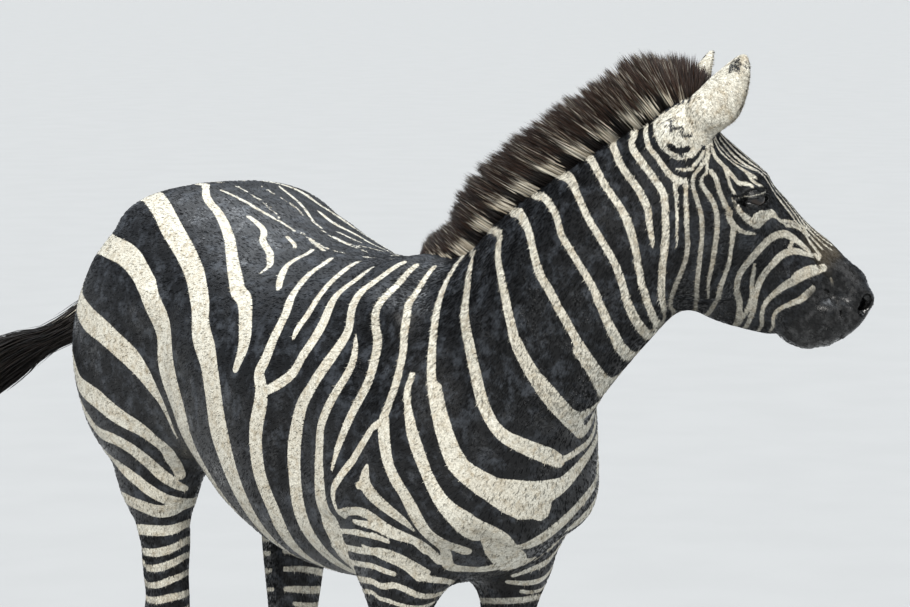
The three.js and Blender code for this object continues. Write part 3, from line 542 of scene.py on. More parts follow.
# Head: place along it, degrees above the side, full width.
HEAD_STROKES = (
    (52, 37, 6, 59, 34, 6, 69, 32, 6, 82, 29, 7, 97, 28, 7, 115, 29, 7, 133, 29, 7, 157, 30, 5),
    (134, 28, 5, 168, 24.5, 6, 180, 28, 5),
    (52, 42, 5, 61, 39, 5, 78, 38, 5, 94, 38, 5, 118, 39, 5, 143, 41, 5, 163, 43, 4, 200, 47, 4, 240, 50,
     3),
    (49, 28.3, 6, 60, 23.8, 6, 68, 18.5, 7, 79, 14, 7, 100, 14, 7, 126, 13.2, 7, 138, 12.4, 7, 145, 16.2, 7,
     153, 19.2, 6, 160, 18.9, 4),
    (102, 13.2, 6, 115, 8.6, 5, 130, 4.1, 5, 145, -.5, 6, 168, -7.7, 8, 181, -8, 9, 195, -6.5, 13, 206,
     -2.7, 17, 214, 1.8, 19, 217, 15.5, 18, 221, 21.5, 14, 233, 24.5, 5, 255, 32, 4),
    (89, -1.2, 8, 100, -1.6, 8, 123, -8, 8, 153, -14.8, 9, 168, -19.4, 10, 181, -20.9, 10, 191, -26.2, 10,
     208, -35.3, 6, 225, -43.6, 8, 244, -56.5, 9, 263, -67.9, 9, 270, -76, 8, 280, -92, 7),
    (181, -20, 7, 195, -19.4, 7, 206, -16.4, 6, 221, -8.8, 4),
    (49, 24, 6, 53, 16, 6, 58, 7, 6, 61, -6, 6, 61, -16, 6, 55, -22, 6, 44, -27, 4),
    (49, 23.8, 5, 66, 9.4, 6, 71, -5.8, 6, 73, -17.9, 6, 81, -23.2, 6, 98, -27, 7, 130, -33.8, 8, 157,
     -43.6, 7, 181, -52.7, 8, 214, -62.6, 8, 238, -72.4, 7, 259, -86, 6),
    (66, 11.7, 5, 73, 2.6, 5, 85, -5.8, 5, 84, -10, 4, 89, -15.6, 6, 100, -17, 8, 130, -19.4, 8, 153, -27,
     9, 176, -38.3, 9, 198, -48.2, 8, 223, -58, 6, 244, -64.8, 3),
    (67, -26.2, 6, 92, -35.3, 7, 119, -43.6, 8, 157, -54.2, 8, 187, -67.9, 8, 208, -76.2, 7, 234, -84.5, 6,
     240, -95, 6),
    (55, -33, 13, 61, -33, 12), (60, -36, 7, 85, -42, 6, 111, -49, 5, 134, -55, 3),
    (17, -49, 8, 51, -47, 8, 79, -50, 7, 108, -57.3, 7, 149, -67, 6, 179, -74, 6, 221, -81.5, 6, 228, -93,
     6),
    (17, -62.6, 6, 49, -58, 6, 81, -60.3, 5, 109, -64, 3),
    (17, -74, 6, 47, -69.4, 5, 79, -69, 5, 130, -73, 5, 168, -76.2, 5, 206, -82, 5, 212, -93, 5),
    (347, 51.5, 5, 322, 47.6, 7, 292, 38.5, 10, 266, 24, 13, 257, 9.5, 14, 250.5, -8, 14, 246.5, -21.6, 14,
     251, -34, 14, 261, -44.4, 13, 275, -53, 12, 289, -61, 11, 304, -68, 10, 318, -76, 9, 330, -88, 8),
    (346, 55, 4, 336, 49, 5, 327, 44, 6, 305, 30, 11, 292, 14, 13, 285, -7.4, 13, 287, -25, 13, 297, -41.4,
     12, 310, -55, 11, 324, -64.8, 10, 334, -73, 8, 344, -85, 7),
    (286, 33.7, 6, 289, 26.9, 7, 293, 19, 8),
    (261, -29, 5, 280, -39, 8, 300, -52, 8, 314, -65, 8, 321, -73, 7, 330, -84, 6),
    (362, 45, 14, 354, 37.6, 18, 347, 29.8, 20, 338, 11, 20, 333, -8.4, 17, 329, -26, 12, 328, -47.6, 9,
     333, -57.5, 8, 344, -65.3, 7, 356, -72, 6, 364, -84, 5),
    (376, 14, 12, 371, -2.5, 14, 369, -18, 12, 358, -39.8, 8, 354, -53.5, 7, 361, -61.4, 6, 371, -68, 5,
     378, -78, 4),
    (386, 40.6, 4, 403, 25, 4, 398, 7, 5), (258, 32.7, 5, 273, 46.5, 5, 288, 55, 5, 307, 63, 5),
    (246, 30.8, 5, 258, 40.6, 5, 273, 52, 5, 297, 68, 5),
)
# Legs: degrees from outward round to the front, height, full width.
HIND_STROKES = (
    (-70, 815, 14, -45, 802, 18, -22, 791, 22, 7, 774, 26, 31, 751, 27, 50, 730, 25, 69, 714, 22, 91, 707,
     16, 130, 705, 14),
    (-150, 700, 14, -120, 704, 18, -80, 706, 22, -6, 706, 29, 31, 696, 32, 54, 687, 33, 75, 689, 31, 97,
     700, 24, 130, 700, 18, 170, 690, 16),
    (-180, 636, 12, -130, 638, 15, -90, 640, 18, 0, 642, 22, 22, 644, 24, 50, 645, 24, 76, 647, 22, 106,
     656, 18, 140, 655, 16, 180, 650, 16),
    (-180, 606, 10, -135, 600, 12, -90, 596, 12, 12, 597, 16, 46, 599, 18, 75, 608, 16, 106, 621, 16, 140,
     618, 12),
    (-180, 578, 9, -135, 570, 11, -90, 566, 12, 0, 563, 14, 41, 566, 16, 73, 577, 16, 105, 590, 14, 140,
     588, 11),
    (-180, 544, 8, -130, 534, 10, -80, 528, 10, 0, 526, 12, 33, 530, 14, 71, 543, 14, 108, 554, 12, 140,
     552, 10),
    (-180, 506, 8, -120, 496, 9, -70, 493, 9, 24, 498, 15, 67, 507, 16, 114, 513, 14, 140, 512, 10),
    (-70, 464, 8, 10, 468, 10, 50, 475, 11, 120, 484, 9),
)
FORE_STROKES = (
    (0, 790, 10, 30, 787, 14, 50, 775, 15, 70, 765, 15, 80, 745, 12),
    (-60, 770, 10, -5, 768, 10, 30, 768, 11, 45, 762, 9),
    (-70, 742, 12, 20, 738, 14, 40, 740, 16, 54, 734, 16, 66, 720, 16, 76, 703, 15, 86, 693, 14, 130, 700,
     12),
    (-70, 706, 10, 16, 710, 11, 34, 705, 12, 50, 700, 10),
    (-80, 674, 11, 10, 680, 12, 30, 674, 12, 50, 678, 12, 66, 670, 12, 80, 660, 12, 130, 668, 11),
    (-80, 650, 9, 6, 658, 9, 20, 650, 9, 38, 647, 9, 54, 641, 8, 110, 640, 8),
)


def march(own, start, way, whole, extra):
    """Where each ray leaves its own limb, and then at most extra further inside the whole body."""
    step = 6.0
    r = np.full(start.shape[:-1], step)
    for _ in range(90):
        inside = own(start + way * r[..., None]) < 0
        r = np.where(inside, r + step, r)
    limit = r + extra
    for _ in range(int(np.max(extra) / step) + 1):
        inside = (whole(start + way * r[..., None]) < 0) & (r < limit)
        r = np.where(inside, r + step, r)
    low, high = r - 2 * step, r
    for _ in range(9):
        middle = (low + high) / 2
        inside = whole(start + way * middle[..., None]) < 0
        low, high = np.where(inside, middle, low), np.where(inside, high, middle)
    return start + way * ((low + high) / 2)[..., None]


def on_trunk(place, angle, sign=-1):
    """Points of the trunk's chart, on the coat."""
    place, angle = np.asarray(place, float), np.radians(angle)
    centre = section_at(TRUNK_LIMB.table, place)[..., 1]
    start = np.stack((0 * place, place, centre), -1)
    way = np.stack((sign * np.cos(angle), 0 * place, np.sin(angle)), -1)
    return march(trunk_field, start, way, body_field, 60)


def on_neck(place, angle, sign=-1):
    """Points of the neck's chart."""
    angle = np.radians(angle)
    centre, _, side, up = NECK_LIMB.frame(place)
    way = sign * np.cos(angle)[..., None] * side + np.sin(angle)[..., None] * up
    return march(NECK_LIMB, centre, way, body_field, 110)


def on_head(place, angle, sign=-1):
    """Points of the head's chart."""
    angle = np.radians(angle)
    centre, side, up = SKULL.middle(np.asarray(place, float))
    way = sign * np.cos(angle)[..., None] * side + np.sin(angle)[..., None] * up
    reach = np.where((np.degrees(angle) > 20) & (np.asarray(place) > 45), 0.0, 60.0)
    return march(head_field, centre, way, body_field, reach)


def on_root(along, up, sign=-1):
    """Points of the chart beside the ear's root, seen from the side of the head."""
    start = from_head(np.stack((along, 0 * along, up), -1))
    return march(body_field, start, np.broadcast_to(sign * HEAD_SIDE, start.shape), body_field, 0)


def on_chest(x, z):
    """Points of the chest's chart, seen from the front."""
    start = np.stack((x, np.full_like(x, -300.0), z), -1)
    return march(front_field, start, np.broadcast_to((0, -1.0, 0), start.shape), front_field, 0)


def on_leg(limb, height, angle):
    """Points of a leg's chart, up on the body too where that is outward of the leg."""
    reach = np.where(np.abs(np.asarray(angle, float) - 30) < 85, 200.0, 10.0)
    angle = np.radians(angle)
    centre, side, up = limb.middle(np.asarray(height, float))
    way = np.cos(angle)[..., None] * side + np.sin(angle)[..., None] * up
    return march(limb, centre, way, body_field, reach)


class Strokes:
    """White strokes as short straight lengths on the coat, each with its half width."""

    def __init__(self):
        self.lines = []

    def add(self, chart, strokes, *args, swap=False):
        """Strokes given on a chart, as smooth lines through their places."""
        rows = [np.array(r, float).reshape(-1, 3) for r in strokes]
        every = np.concatenate(rows)
        u, v = (every[:, 1], every[:, 0]) if swap else (every[:, 0], every[:, 1])
        placed = np.split(chart(u, v, *args), np.cumsum([len(r) for r in rows])[:-1])
        for r, points in zip(rows, placed):
            length = np.linalg.norm(np.diff(points, axis=0), axis=-1).sum()
            t = np.linspace(0, 1, max(int(length / 10), 2 * len(r), 4) + 1)
            half = np.interp(t * (len(r) - 1), np.arange(len(r)), r[:, 2]) / 2
            self.lines.append((centripetal(points, t), half))

    def settle(self):
        """All the lines, moved onto the skin."""
        counts = np.cumsum([len(line) for line, _ in self.lines])[:-1]
        settled = onto(skin_field, np.concatenate([line for line, _ in self.lines]), 7, 6.0)
        self.lines = [(q, half) for q, (_, half) in zip(np.split(settled, counts), self.lines)]
        return self

    def depth(self, p, floor=-14.0):
        """How far inside the nearest stroke each point is: half width less distance, floor at the least."""
        out = np.full(len(p), floor)
        order = np.argsort(p[:, 1])
        ys = p[order, 1]
        for line, half in self.lines:
            reach = half.max() - floor
            low, high = line.min(0) - reach, line.max(0) + reach
            pick = order[np.searchsorted(ys, low[1]) : np.searchsorted(ys, high[1])]
            q = p[pick]
            near = ((q > low) & (q < high)).all(-1)
            pick, q = pick[near], q[near]
            if not len(pick):
                continue
            best = out[pick]
            for a, b, ha, hb in zip(line[:-1], line[1:], half[:-1], half[1:]):
                step = b - a
                w = q - a
                t = np.clip(w @ step / max(step @ step, 1e-9), 0, 1)
                d = np.sqrt(((w - t[:, None] * step) ** 2).sum(-1))
                best = np.maximum(best, ha + (hb - ha) * t - d)
            out[pick] = best
        return out


def gradient(field, p, h=1.0):
    """The field's slope, from four places round each point."""
    corners = np.array(((1, -1, -1), (-1, -1, 1), (-1, 1, -1), (1, 1, 1)), float)
    return sum(field(p + c * h)[..., None] * c for c in corners) / (4 * h)


def onto(field, p, turns=2, most=4.0):
    """Points moved onto the field's zero by Newton's steps along its slope, each most long at the most."""
    for _ in range(turns):
        g = gradient(field, p)
        step = field(p) / np.maximum((g * g).sum(-1), 0.2)
        size = np.abs(step) * np.linalg.norm(g, axis=-1)
        step = step * np.minimum(1, most / np.maximum(size, 1e-9))
        p = p - step[..., None] * g
    return p


def face_lines():
    """Thin lines down the forehead and nose, which bow out to a diamond between the eyes."""
    along = np.linspace(58, 350, 15)
    bow = np.exp(-(((along - 150) / 75) ** 2))
    lines = []
    for k in range(5):
        spread = 9.0 + 1.2 * bow - 1.6 * smoothstep(along, 190, 280)
        angle = 86.0 - k * spread - 1.2 * np.sin(along / 23 + k)
        width = 4.8 + 0.9 * np.sin(along / 17 + 2 * k) - 1.2 * smoothstep(along, 300, 350)
        lines.append(np.stack((along + 4 * k, angle, width), -1)[: 15 - k // 3])
    return lines


def all_strokes():
    """Every white stroke of both sides."""
    s = Strokes()
    for sign in (-1, 1):
        further = np.array((0 if sign < 0 else 6, 0, 0))
        s.add(on_trunk, [np.array(r).reshape(-1, 3) + further for r in TRUNK_STROKES], sign)
        s.add(on_neck, NECK_STROKES, sign)
        s.add(on_head, HEAD_STROKES, sign)
        s.add(on_head, face_lines(), sign)
        s.add(on_root, ROOT_STROKES, sign)
    s.add(on_chest, CHEST_STROKES)
    for seed, (name, (limb, _)) in enumerate(LEGS.items()):
        bands = list(HIND_STROKES if "hind" in name else FORE_STROKES)
        rng = np.random.default_rng(seed)
        angles = np.linspace(-178, 178, 15)
        turn = np.radians(angles)
        for k, z in enumerate(np.arange(452 if "hind" in name else 612, 66, -29.0)):
            wave = rng.normal(0, 2.5, 3)
            width = 12 + 3 * np.sin(k * 1.7) + rng.normal(0, 1)
            rise = 9 * np.cos(turn - np.pi / 2) + wave[0] * np.sin(turn * 2) + wave[1]
            bands.append(np.stack((angles, z + rise, width * (1 - 0.25 * np.cos(turn + np.pi / 2))), -1))
        s.add(lambda height, angle, limb=limb: on_leg(limb, height, angle), bands, swap=True)
    return s.settle()


# ---- Finer modelling laid over the flesh
COAT_DEPTH = 3.0  # how far the skin lies under the outline of the coat
EYE_SLIT = np.array((0.71, -0.31, 0.63))  # from the back corner of the lids to the front one, in head axes
EYE_LOOK = np.array((0.22, 0.95, 0.22))
EYE_LOOK = unit(EYE_LOOK - EYE_LOOK @ unit(EYE_SLIT) * unit(EYE_SLIT))
EYE_RISE = np.cross(unit(EYE_SLIT), EYE_LOOK)
EYE_RISE = EYE_RISE * np.sign(EYE_RISE @ np.array((-0.69, 0, 0.72)))
# Lumps (+) and hollows (-) of the head: sign, centre, radii and fillet, out to each side.
HEAD_LUMPS = (
    (1, (13, 66, -87), (37, 23, 37), 12), (1, (158, 66, -44), (44, 17, 13), 16),
    (1, (204, 83, -99), (64, 9, 14), 22), (1, (287, 64, -112), (55, 8, 9), 20),
    (-1, (100, 70, -24), (34, 14, 14), 26), (-1, (390, 0, 42), (62, 95, 54), 16),
    (-1, (519, 0, -92), (44, 80, 72), 12), (-1, (304, 113, -88), (95, 50, 42), 20),
    (-1, (330, 106, -172), (92, 50, 42), 22), (-1, (400, 0, -207), (13, 60, 17), 8),
    (-1, (398, 54, -80), (26, 9, 20), 20), (1, (451, 36, -47), (26, 20, 22), 14),
    (1, (466, 20, -86), (17, 32, 32), 14), (1, (420, 14, -160), (36, 27, 25), 10),
    (1, (430, 44, -108), (26, 16, 26), 18),
)
LID_RADIUS = 27.5  # how far the lids stand out round the eye's middle
NOSTRIL = ((457, 51, -46), (462, 52, -54), (464, 51, -62))
NOSTRIL_DEEP = ((461, 49, -54), (449, 30, -60))
NOSTRIL_RADIUS = 8.5
NOSTRIL_MIDDLE = (460, 51, -54)
MOUTH = ((482, 0, -136), (480, 26, -134), (468, 42, -133), (450, 50, -132), (424, 54, -131), (404, 54, -137),
         (390, 50, -150))
# The same on the trunk and legs: sign, centre, radii, fillet.
BODY_LUMPS = (
    (1, (233, -300, 850), (20, 70, 46), 40), (-1, (284, -225, 900), (14, 34, 120), 50),
    (1, (250, 318, 1110), (16, 50, 30), 40), (1, (162, -250, 735), (30, 36, 34), 30),
    (1, (120, -495, 837), (56, 60, 66), 50), (-1, (158, 540, 640), (14, 20, 90), 24),
    (1, (158, -303, 1149), (24, 90, 26), 60),
)


def capsules(q, points, radius):
    """Distance outside a thick bent line."""
    best = np.full(len(q), 1e9)
    for a, b in zip(np.array(points[:-1], float), np.array(points[1:], float)):
        step = b - a
        t = np.clip((q - a) @ step / (step @ step), 0, 1)
        best = np.minimum(best, np.linalg.norm(q - a - t[:, None] * step, axis=-1))
    return best - radius


def eye_frame(q):
    """Head places beside an eye, as along its slit, up across it, and distance from the ball's middle."""
    e = q - np.array(EYE_PLACE)
    return e @ unit(EYE_SLIT), e @ EYE_RISE, e @ EYE_LOOK, np.linalg.norm(e, axis=-1)


def lid_gap(a, b):
    """How far outside the opening between the lids: a leaf, level above and hanging below."""
    x = np.clip(a / 22, -1, 1)
    top = (3.6 + 0.22 * a) * (1 - x**4)
    low = -10.0 * (1 - x**2) ** 0.8
    return np.maximum(np.maximum(b - top, low - b), np.abs(a) - 21.5)


def face_field(d, p):
    """The head's lumps, lids, nostrils and mouth worked into distance d at points p."""
    q = in_head(p)
    q[:, 1] = np.abs(q[:, 1])
    forehead = smoothstep(q[:, 0], 32, 75) * smoothstep(q[:, 2], -110, -55)
    d = d + forehead * np.maximum(head_field(p) - 7 - d, 0)  # no neck stands proud of it
    for sign, centre, radii, k in HEAD_LUMPS:
        e = egg(centre, radii, q)
        d = join(d, e, k) if sign > 0 else carve(d, e, k)
    a, b, out, r = eye_frame(q)
    front = np.where(out > 0, 1.0, 0.0)
    d = join(d, r - LID_RADIUS, 12)
    fold = np.abs(b - 13.5 - 0.2 * a + 0.008 * a**2) - 1.8
    d = carve(d, np.maximum(fold, LID_RADIUS - 0.9 - r) + 30 * (1 - front), 4)
    under = np.abs(b + 15 - 0.010 * a**2) - 1.4
    d = carve(d, np.maximum(under, LID_RADIUS - 0.1 - r) + 30 * (1 - front), 4)
    d = carve(d, np.maximum(lid_gap(a, b) + COAT_DEPTH, EYE_RADIUS - 0.6 - r) + 60 * (1 - front), 1.6)
    d = join(d, np.abs(capsules(q, NOSTRIL, NOSTRIL_RADIUS + 3)) - 2.0, 7)
    d = carve(d, np.minimum(capsules(q, NOSTRIL, NOSTRIL_RADIUS), capsules(q, NOSTRIL_DEEP, 8.0)), 4)
    return carve(d, capsules(q, MOUTH, 2.6), 7)


def wrinkles(p):
    """Waves about a millimetre deep that break up the flesh, and the ribs behind the shoulder."""
    x, y, z = p[:, 0], p[:, 1], p[:, 2]
    w = np.sin(x / 31 + 1.7 * np.sin(z / 57)) * np.sin(y / 47 + z / 83)
    w = w + 0.6 * np.sin(y / 19 + x / 23 + z / 37)
    ribs = np.sin(y / 15.5 + z / 260) * smoothstep(z, 840, 920) * smoothstep(-z, -1100, -1000)
    ribs = ribs * smoothstep(y, -190, -110) * smoothstep(-y, -290, -210)
    return 0.9 * w * smoothstep(z, 560, 640) + 1.3 * ribs


def skin_field(p):
    """Distance outside the skin, with the finer shapes only where that is near nought."""
    p = p.reshape(-1, 3)
    d = join(body_field(p), DOCK(p), BLEND["tail"])
    from_face = np.linalg.norm(p - from_head(HEAD_MIDDLE), axis=-1)
    near = (np.abs(d) < 130) & (from_face < 340)
    if near.any():
        d[near] = face_field(d[near], p[near])
    body = (np.abs(d) < 130) & (from_face > 300)
    if body.any():
        q = p[body].copy()
        q[:, 0] = np.abs(q[:, 0])
        v = d[body]
        for sign, centre, radii, k in BODY_LUMPS:
            e = egg(centre, radii, q)
            v = join(v, e, k) if sign > 0 else carve(v, e, k)
        d[body] = v + wrinkles(p[body]) * smoothstep(from_face[body], 300, 420)
    d = d + COAT_DEPTH
    return np.maximum(d, CORONET - 4 - p[:, 2])


def netted(field, low, high, cell, group=4):
    """The field's zero as triangles by surface nets: one vertex at the mean of the crossings in each cell
    that the surface passes through, and a quad across each grid edge that it crosses. The field is worked
    out only in the blocks of cells near the surface."""
    low = np.asarray(low, float)
    blocks = np.ceil((np.asarray(high) - low) / (cell * group)).astype(int)
    grid = np.stack(np.meshgrid(*(np.arange(n + 1) for n in blocks), indexing="ij"), -1)
    coarse = field(grid.reshape(-1, 3) * cell * group + low).reshape(grid.shape[:3])
    near = np.abs(coarse) < 60
    inside = coarse < 0
    for axis in range(3):
        a, b = (np.moveaxis(v, axis, 0) for v in (inside, near))
        change = a[1:] != a[:-1]
        b[1:] |= change
        b[:-1] |= change
    for axis in range(3):
        b = np.moveaxis(near, axis, 0)
        grown = b.copy()
        grown[1:] |= b[:-1]
        grown[:-1] |= b[1:]
        b[...] = grown
    shape = blocks * group + 1
    index = [np.minimum((np.arange(n) + group // 2) // group, m) for n, m in zip(shape, blocks)]
    mask = near[np.ix_(*index)]
    value = np.where(inside[np.ix_(*index)], -900.0, 900.0)
    where = np.argwhere(mask)
    out = np.empty(len(where))
    for i in range(0, len(where), 60000):
        out[i : i + 60000] = field(where[i : i + 60000] * cell + low)
    value[mask] = out
    neg = value < 0
    corners = np.array([(i, j, k) for i in (0, 1) for j in (0, 1) for k in (0, 1)])
    count = sum(neg[i : i + shape[0] - 1, j : j + shape[1] - 1, k : k + shape[2] - 1].astype(int)
                for i, j, k in corners)
    cells = np.argwhere((count > 0) & (count < 8))
    number = np.full(shape - 1, -1)
    number[tuple(cells.T)] = np.arange(len(cells))
    total, hits = np.zeros((len(cells), 3)), np.zeros(len(cells))
    for a in range(8):
        for b in range(a + 1, 8):
            step = corners[b] - corners[a]
            if np.abs(step).sum() != 1:
                continue
            va, vb = (value[tuple((cells + corners[i]).T)] for i in (a, b))
            crosses = (va < 0) != (vb < 0)
            t = np.where(crosses, va / np.where(crosses, va - vb, 1), 0)
            total += np.where(crosses[:, None], corners[a] + t[:, None] * step, 0)
            hits += crosses
    points = (cells + total / hits[:, None]) * cell + low
    quads = []
    for axis in range(3):
        u, v = (axis + 1) % 3, (axis + 2) % 3
        first, second = [slice(1, -1)] * 3, [slice(1, -1)] * 3
        first[axis], second[axis] = slice(0, -1), slice(1, None)
        change = neg[tuple(first)] != neg[tuple(second)]
        at = np.argwhere(change) + np.array([0 if i == axis else 1 for i in range(3)])
        du, dv = np.eye(3, dtype=int)[u], np.eye(3, dtype=int)[v]
        ring = [number[tuple((at - o).T)] for o in (du * 0, du, du + dv, dv)]
        quad = np.stack(ring, -1)
        inner = neg[tuple(at.T)]
        quads.append(np.where(inner[:, None], quad, quad[:, ::-1]))
    quads = np.concatenate(quads)
    quads = quads[(quads >= 0).all(-1)]
    diagonal = [np.linalg.norm(points[quads[:, i]] - points[quads[:, i + 2]], axis=-1) for i in (0, 1)]
    shorter = (diagonal[0] <= diagonal[1])[:, None, None]
    tris = np.where(shorter, quads[:, [[0, 1, 2], [0, 2, 3]]], quads[:, [[1, 2, 3], [1, 3, 0]]])
    return points, tris.reshape(-1, 3)


def edges_of(tris):
    """The unique edges, and each triangle's three of them in the order of its corners."""
    pairs = np.sort(tris[:, [[0, 1], [1, 2], [2, 0]]].reshape(-1, 2), axis=1)
    key = pairs[:, 0].astype(np.int64) * (tris.max() + 1) + pairs[:, 1]
    _, first, back = np.unique(key, return_index=True, return_inverse=True)
    return pairs[first], back.reshape(-1, 3)


def refined(points, tris, field, wanted):
    """Edges longer than wanted(middle) are halved, and each triangle is cut to fit its halved edges."""
    edges, of = edges_of(tris)
    middle = (points[edges[:, 0]] + points[edges[:, 1]]) / 2
    length = np.linalg.norm(points[edges[:, 0]] - points[edges[:, 1]], axis=-1)
    cut = length > wanted(middle)
    longest = length[of].argmax(1)
    for _ in range(3):  # a triangle that is cut at all is cut across its longest edge too
        some = cut[of].any(1)
        cut[of[some, longest[some]]] = True
    number = np.full(len(edges), -1)
    number[cut] = len(points) + np.arange(cut.sum())
    points = np.concatenate((points, onto(field, middle[cut], 2, 3.0)))
    made = []
    mid, marks = number[of], cut[of]
    count = marks.sum(1)
    made.append(tris[count == 0])
    for turn in range(3):
        a, b, c = (tris[:, (turn + k) % 3] for k in range(3))
        ab, bc, ca = (mid[:, (turn + k) % 3] for k in range(3))
        hab, hbc = (marks[:, (turn + k) % 3] for k in range(2))
        one = hab & (count == 1)
        made += [np.stack((a, ab, c), -1)[one], np.stack((ab, b, c), -1)[one]]
        two = hab & hbc & (count == 2)
        lab = length[of[:, turn]] > length[of[:, (turn + 1) % 3]]
        made.append(np.stack((ab, b, bc), -1)[two])
        made += [np.stack((a, ab, c), -1)[two & lab], np.stack((ab, bc, c), -1)[two & lab]]
        made += [np.stack((a, ab, bc), -1)[two & ~lab], np.stack((a, bc, c), -1)[two & ~lab]]
    a, b, c = tris.T
    ab, bc, ca = mid.T
    all3 = count == 3
    for t in ((a, ab, ca), (ab, b, bc), (ca, bc, c), (ab, bc, ca)):
        made.append(np.stack(t, -1)[all3])
    return points, np.concatenate(made)


def normals_of(points, tris):
    """Each vertex's normal, weighted by the areas of its triangles."""
    n = np.cross(points[tris[:, 1]] - points[tris[:, 0]], points[tris[:, 2]] - points[tris[:, 0]])
    total = np.zeros_like(points)
    for k in range(3):
        for axis in range(3):
            total[:, axis] += np.bincount(tris[:, k], n[:, axis], len(points))
    return unit(total)


def relaxed(points, tris, field, share, turns):
    """Vertices moved a share of the way to the mean of their neighbours, and set back on the surface."""
    for _ in range(turns):
        edges, _ = edges_of(tris)
        total, count = np.zeros_like(points), np.zeros(len(points))
        for a, b in ((0, 1), (1, 0)):
            count += np.bincount(edges[:, a], minlength=len(points))
            for axis in range(3):
                total[:, axis] += np.bincount(edges[:, a], points[edges[:, b], axis], len(points))
        move = (total / count[:, None] - points) * share
        n = normals_of(points, tris)
        points = onto(field, points + move - (move * n).sum(-1, keepdims=True) * n, 1, 2.0)
    return points


def ear_axes(sign):
    """An ear's root, the way it stands, the way across it and the way it opens."""
    root = from_head(mirrored(EAR["place"], sign))
    axis = head_way(mirrored(EAR["lean"], sign))
    mouth = mirrored(EAR["opens"], sign) @ HEAD_AXES
    mouth = unit(mouth - mouth @ axis * axis)
    return root, axis, np.cross(axis, mouth), mouth


def ear_shell(sign, rows=44, columns=40):
    """An ear: at share t of its height the back is half an ellipse as wide as a leaf, and the front is the
    same half ellipse again but shallower, so that between them they close a wall round a cup."""
    root, axis, across, mouth = ear_axes(sign)
    t = np.linspace(-0.2, 0.99, rows)[:, None]
    turn = np.linspace(0, 2 * np.pi, columns, endpoint=False)[None]
    swell = np.sin(np.pi * np.clip(0.3 + 0.7 * t, 0, 1) ** 1.1) ** 0.6
    wide = 2.5 + (EAR["half_width"] - 2.5) * swell * (1 - 0.30 * np.exp(-(((t - 0.13) / 0.14) ** 2)))
    hollow = smoothstep(t, 0.16, 0.5)
    back = np.sin(turn) < 0
    deep = wide * (1.1 - 0.35 * smoothstep(t, 0.4, 1.0))
    inner = np.maximum(deep - 5.0 - 6 * (1 - t), 0.4 * deep) * hollow - deep * 0.62 * (1 - hollow)
    s = np.abs(np.sin(turn))
    depth = np.where(back, -deep * s**0.95, -inner * s**1.15)
    side = wide * np.sign(np.cos(turn)) * np.abs(np.cos(turn)) ** 0.9
    middle = root + t[..., None] * EAR["length"] * axis
    middle = middle + (EAR["bow"] * t * (1 - t) + 0.34 * wide * hollow)[..., None] * mouth
    points = middle + side[..., None] * across + depth[..., None] * mouth
    tips = middle[[0, -1], 0] + np.array((-3, 1.5))[:, None] * axis
    return np.vstack((points.reshape(-1, 3), tips)), tube_faces(rows, columns, True)


def tube_faces(rows, columns, capped=False):
    """Triangles of a closed tube of rows by columns vertices, with a point at each end when capped."""
    i, j = np.meshgrid(np.arange(rows - 1), np.arange(columns), indexing="ij")
    a, b = i * columns + j, i * columns + (j + 1) % columns
    quads = np.stack((a, b, b + columns, a + columns), -1).reshape(-1, 4)
    tris = [quads[:, [0, 1, 2]], quads[:, [0, 2, 3]]]
    if capped:
        j = np.arange(columns)
        k, last, n = (j + 1) % columns, (rows - 1) * columns, rows * columns
        tris += [np.stack((k, j, j * 0 + n), -1), np.stack((last + j, last + k, j * 0 + n + 1), -1)]
    return np.concatenate(tris)


# ---- Objects and materials
def outward(points, tris):
    """The triangles, turned over if together they enclose less than nothing."""
    a, b, c = (points[tris[:, k]] for k in range(3))
    return tris if np.einsum("ij,ij->", a, np.cross(b, c)) > 0 else tris[:, ::-1]


def mesh_object(name, points, faces, material, nodes=(), attributes=None, uv=None):
    """A piece made of triangles in body millimetres, riding on the model's one body."""
    mesh = bpy.data.meshes.new(name)
    points, faces = to_frame(points), np.asarray(faces)
    mesh.vertices.add(len(points))
    mesh.vertices.foreach_set("co", points.astype(np.float32).ravel())
    mesh.loops.add(faces.size)
    mesh.loops.foreach_set("vertex_index", faces.astype(np.int32).ravel())
    mesh.polygons.add(len(faces))
    mesh.polygons.foreach_set("loop_start", np.arange(0, faces.size, faces.shape[1], dtype=np.int32))
    mesh.update(calc_edges=True)
    mesh.validate()
    mesh.shade_smooth()
    for key, values in (attributes or {}).items():
        values = np.asarray(values, np.float32)
        kind, field = ("FLOAT", "value") if values.ndim == 1 else ("FLOAT_VECTOR", "vector")
        mesh.attributes.new(key, kind, "POINT").data.foreach_set(field, values.ravel())
    if uv is not None:
        layer = mesh.uv_layers.new(name="OFBake")
        layer.data.foreach_set("uv", uv[faces].astype(np.float32).ravel())
    piece = bpy.data.objects.new(name, mesh)
    bpy.context.collection.objects.link(piece)
    mesh.materials.append(material)
    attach(piece, "root")
    if nodes:
        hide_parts(*nodes)
    return piece


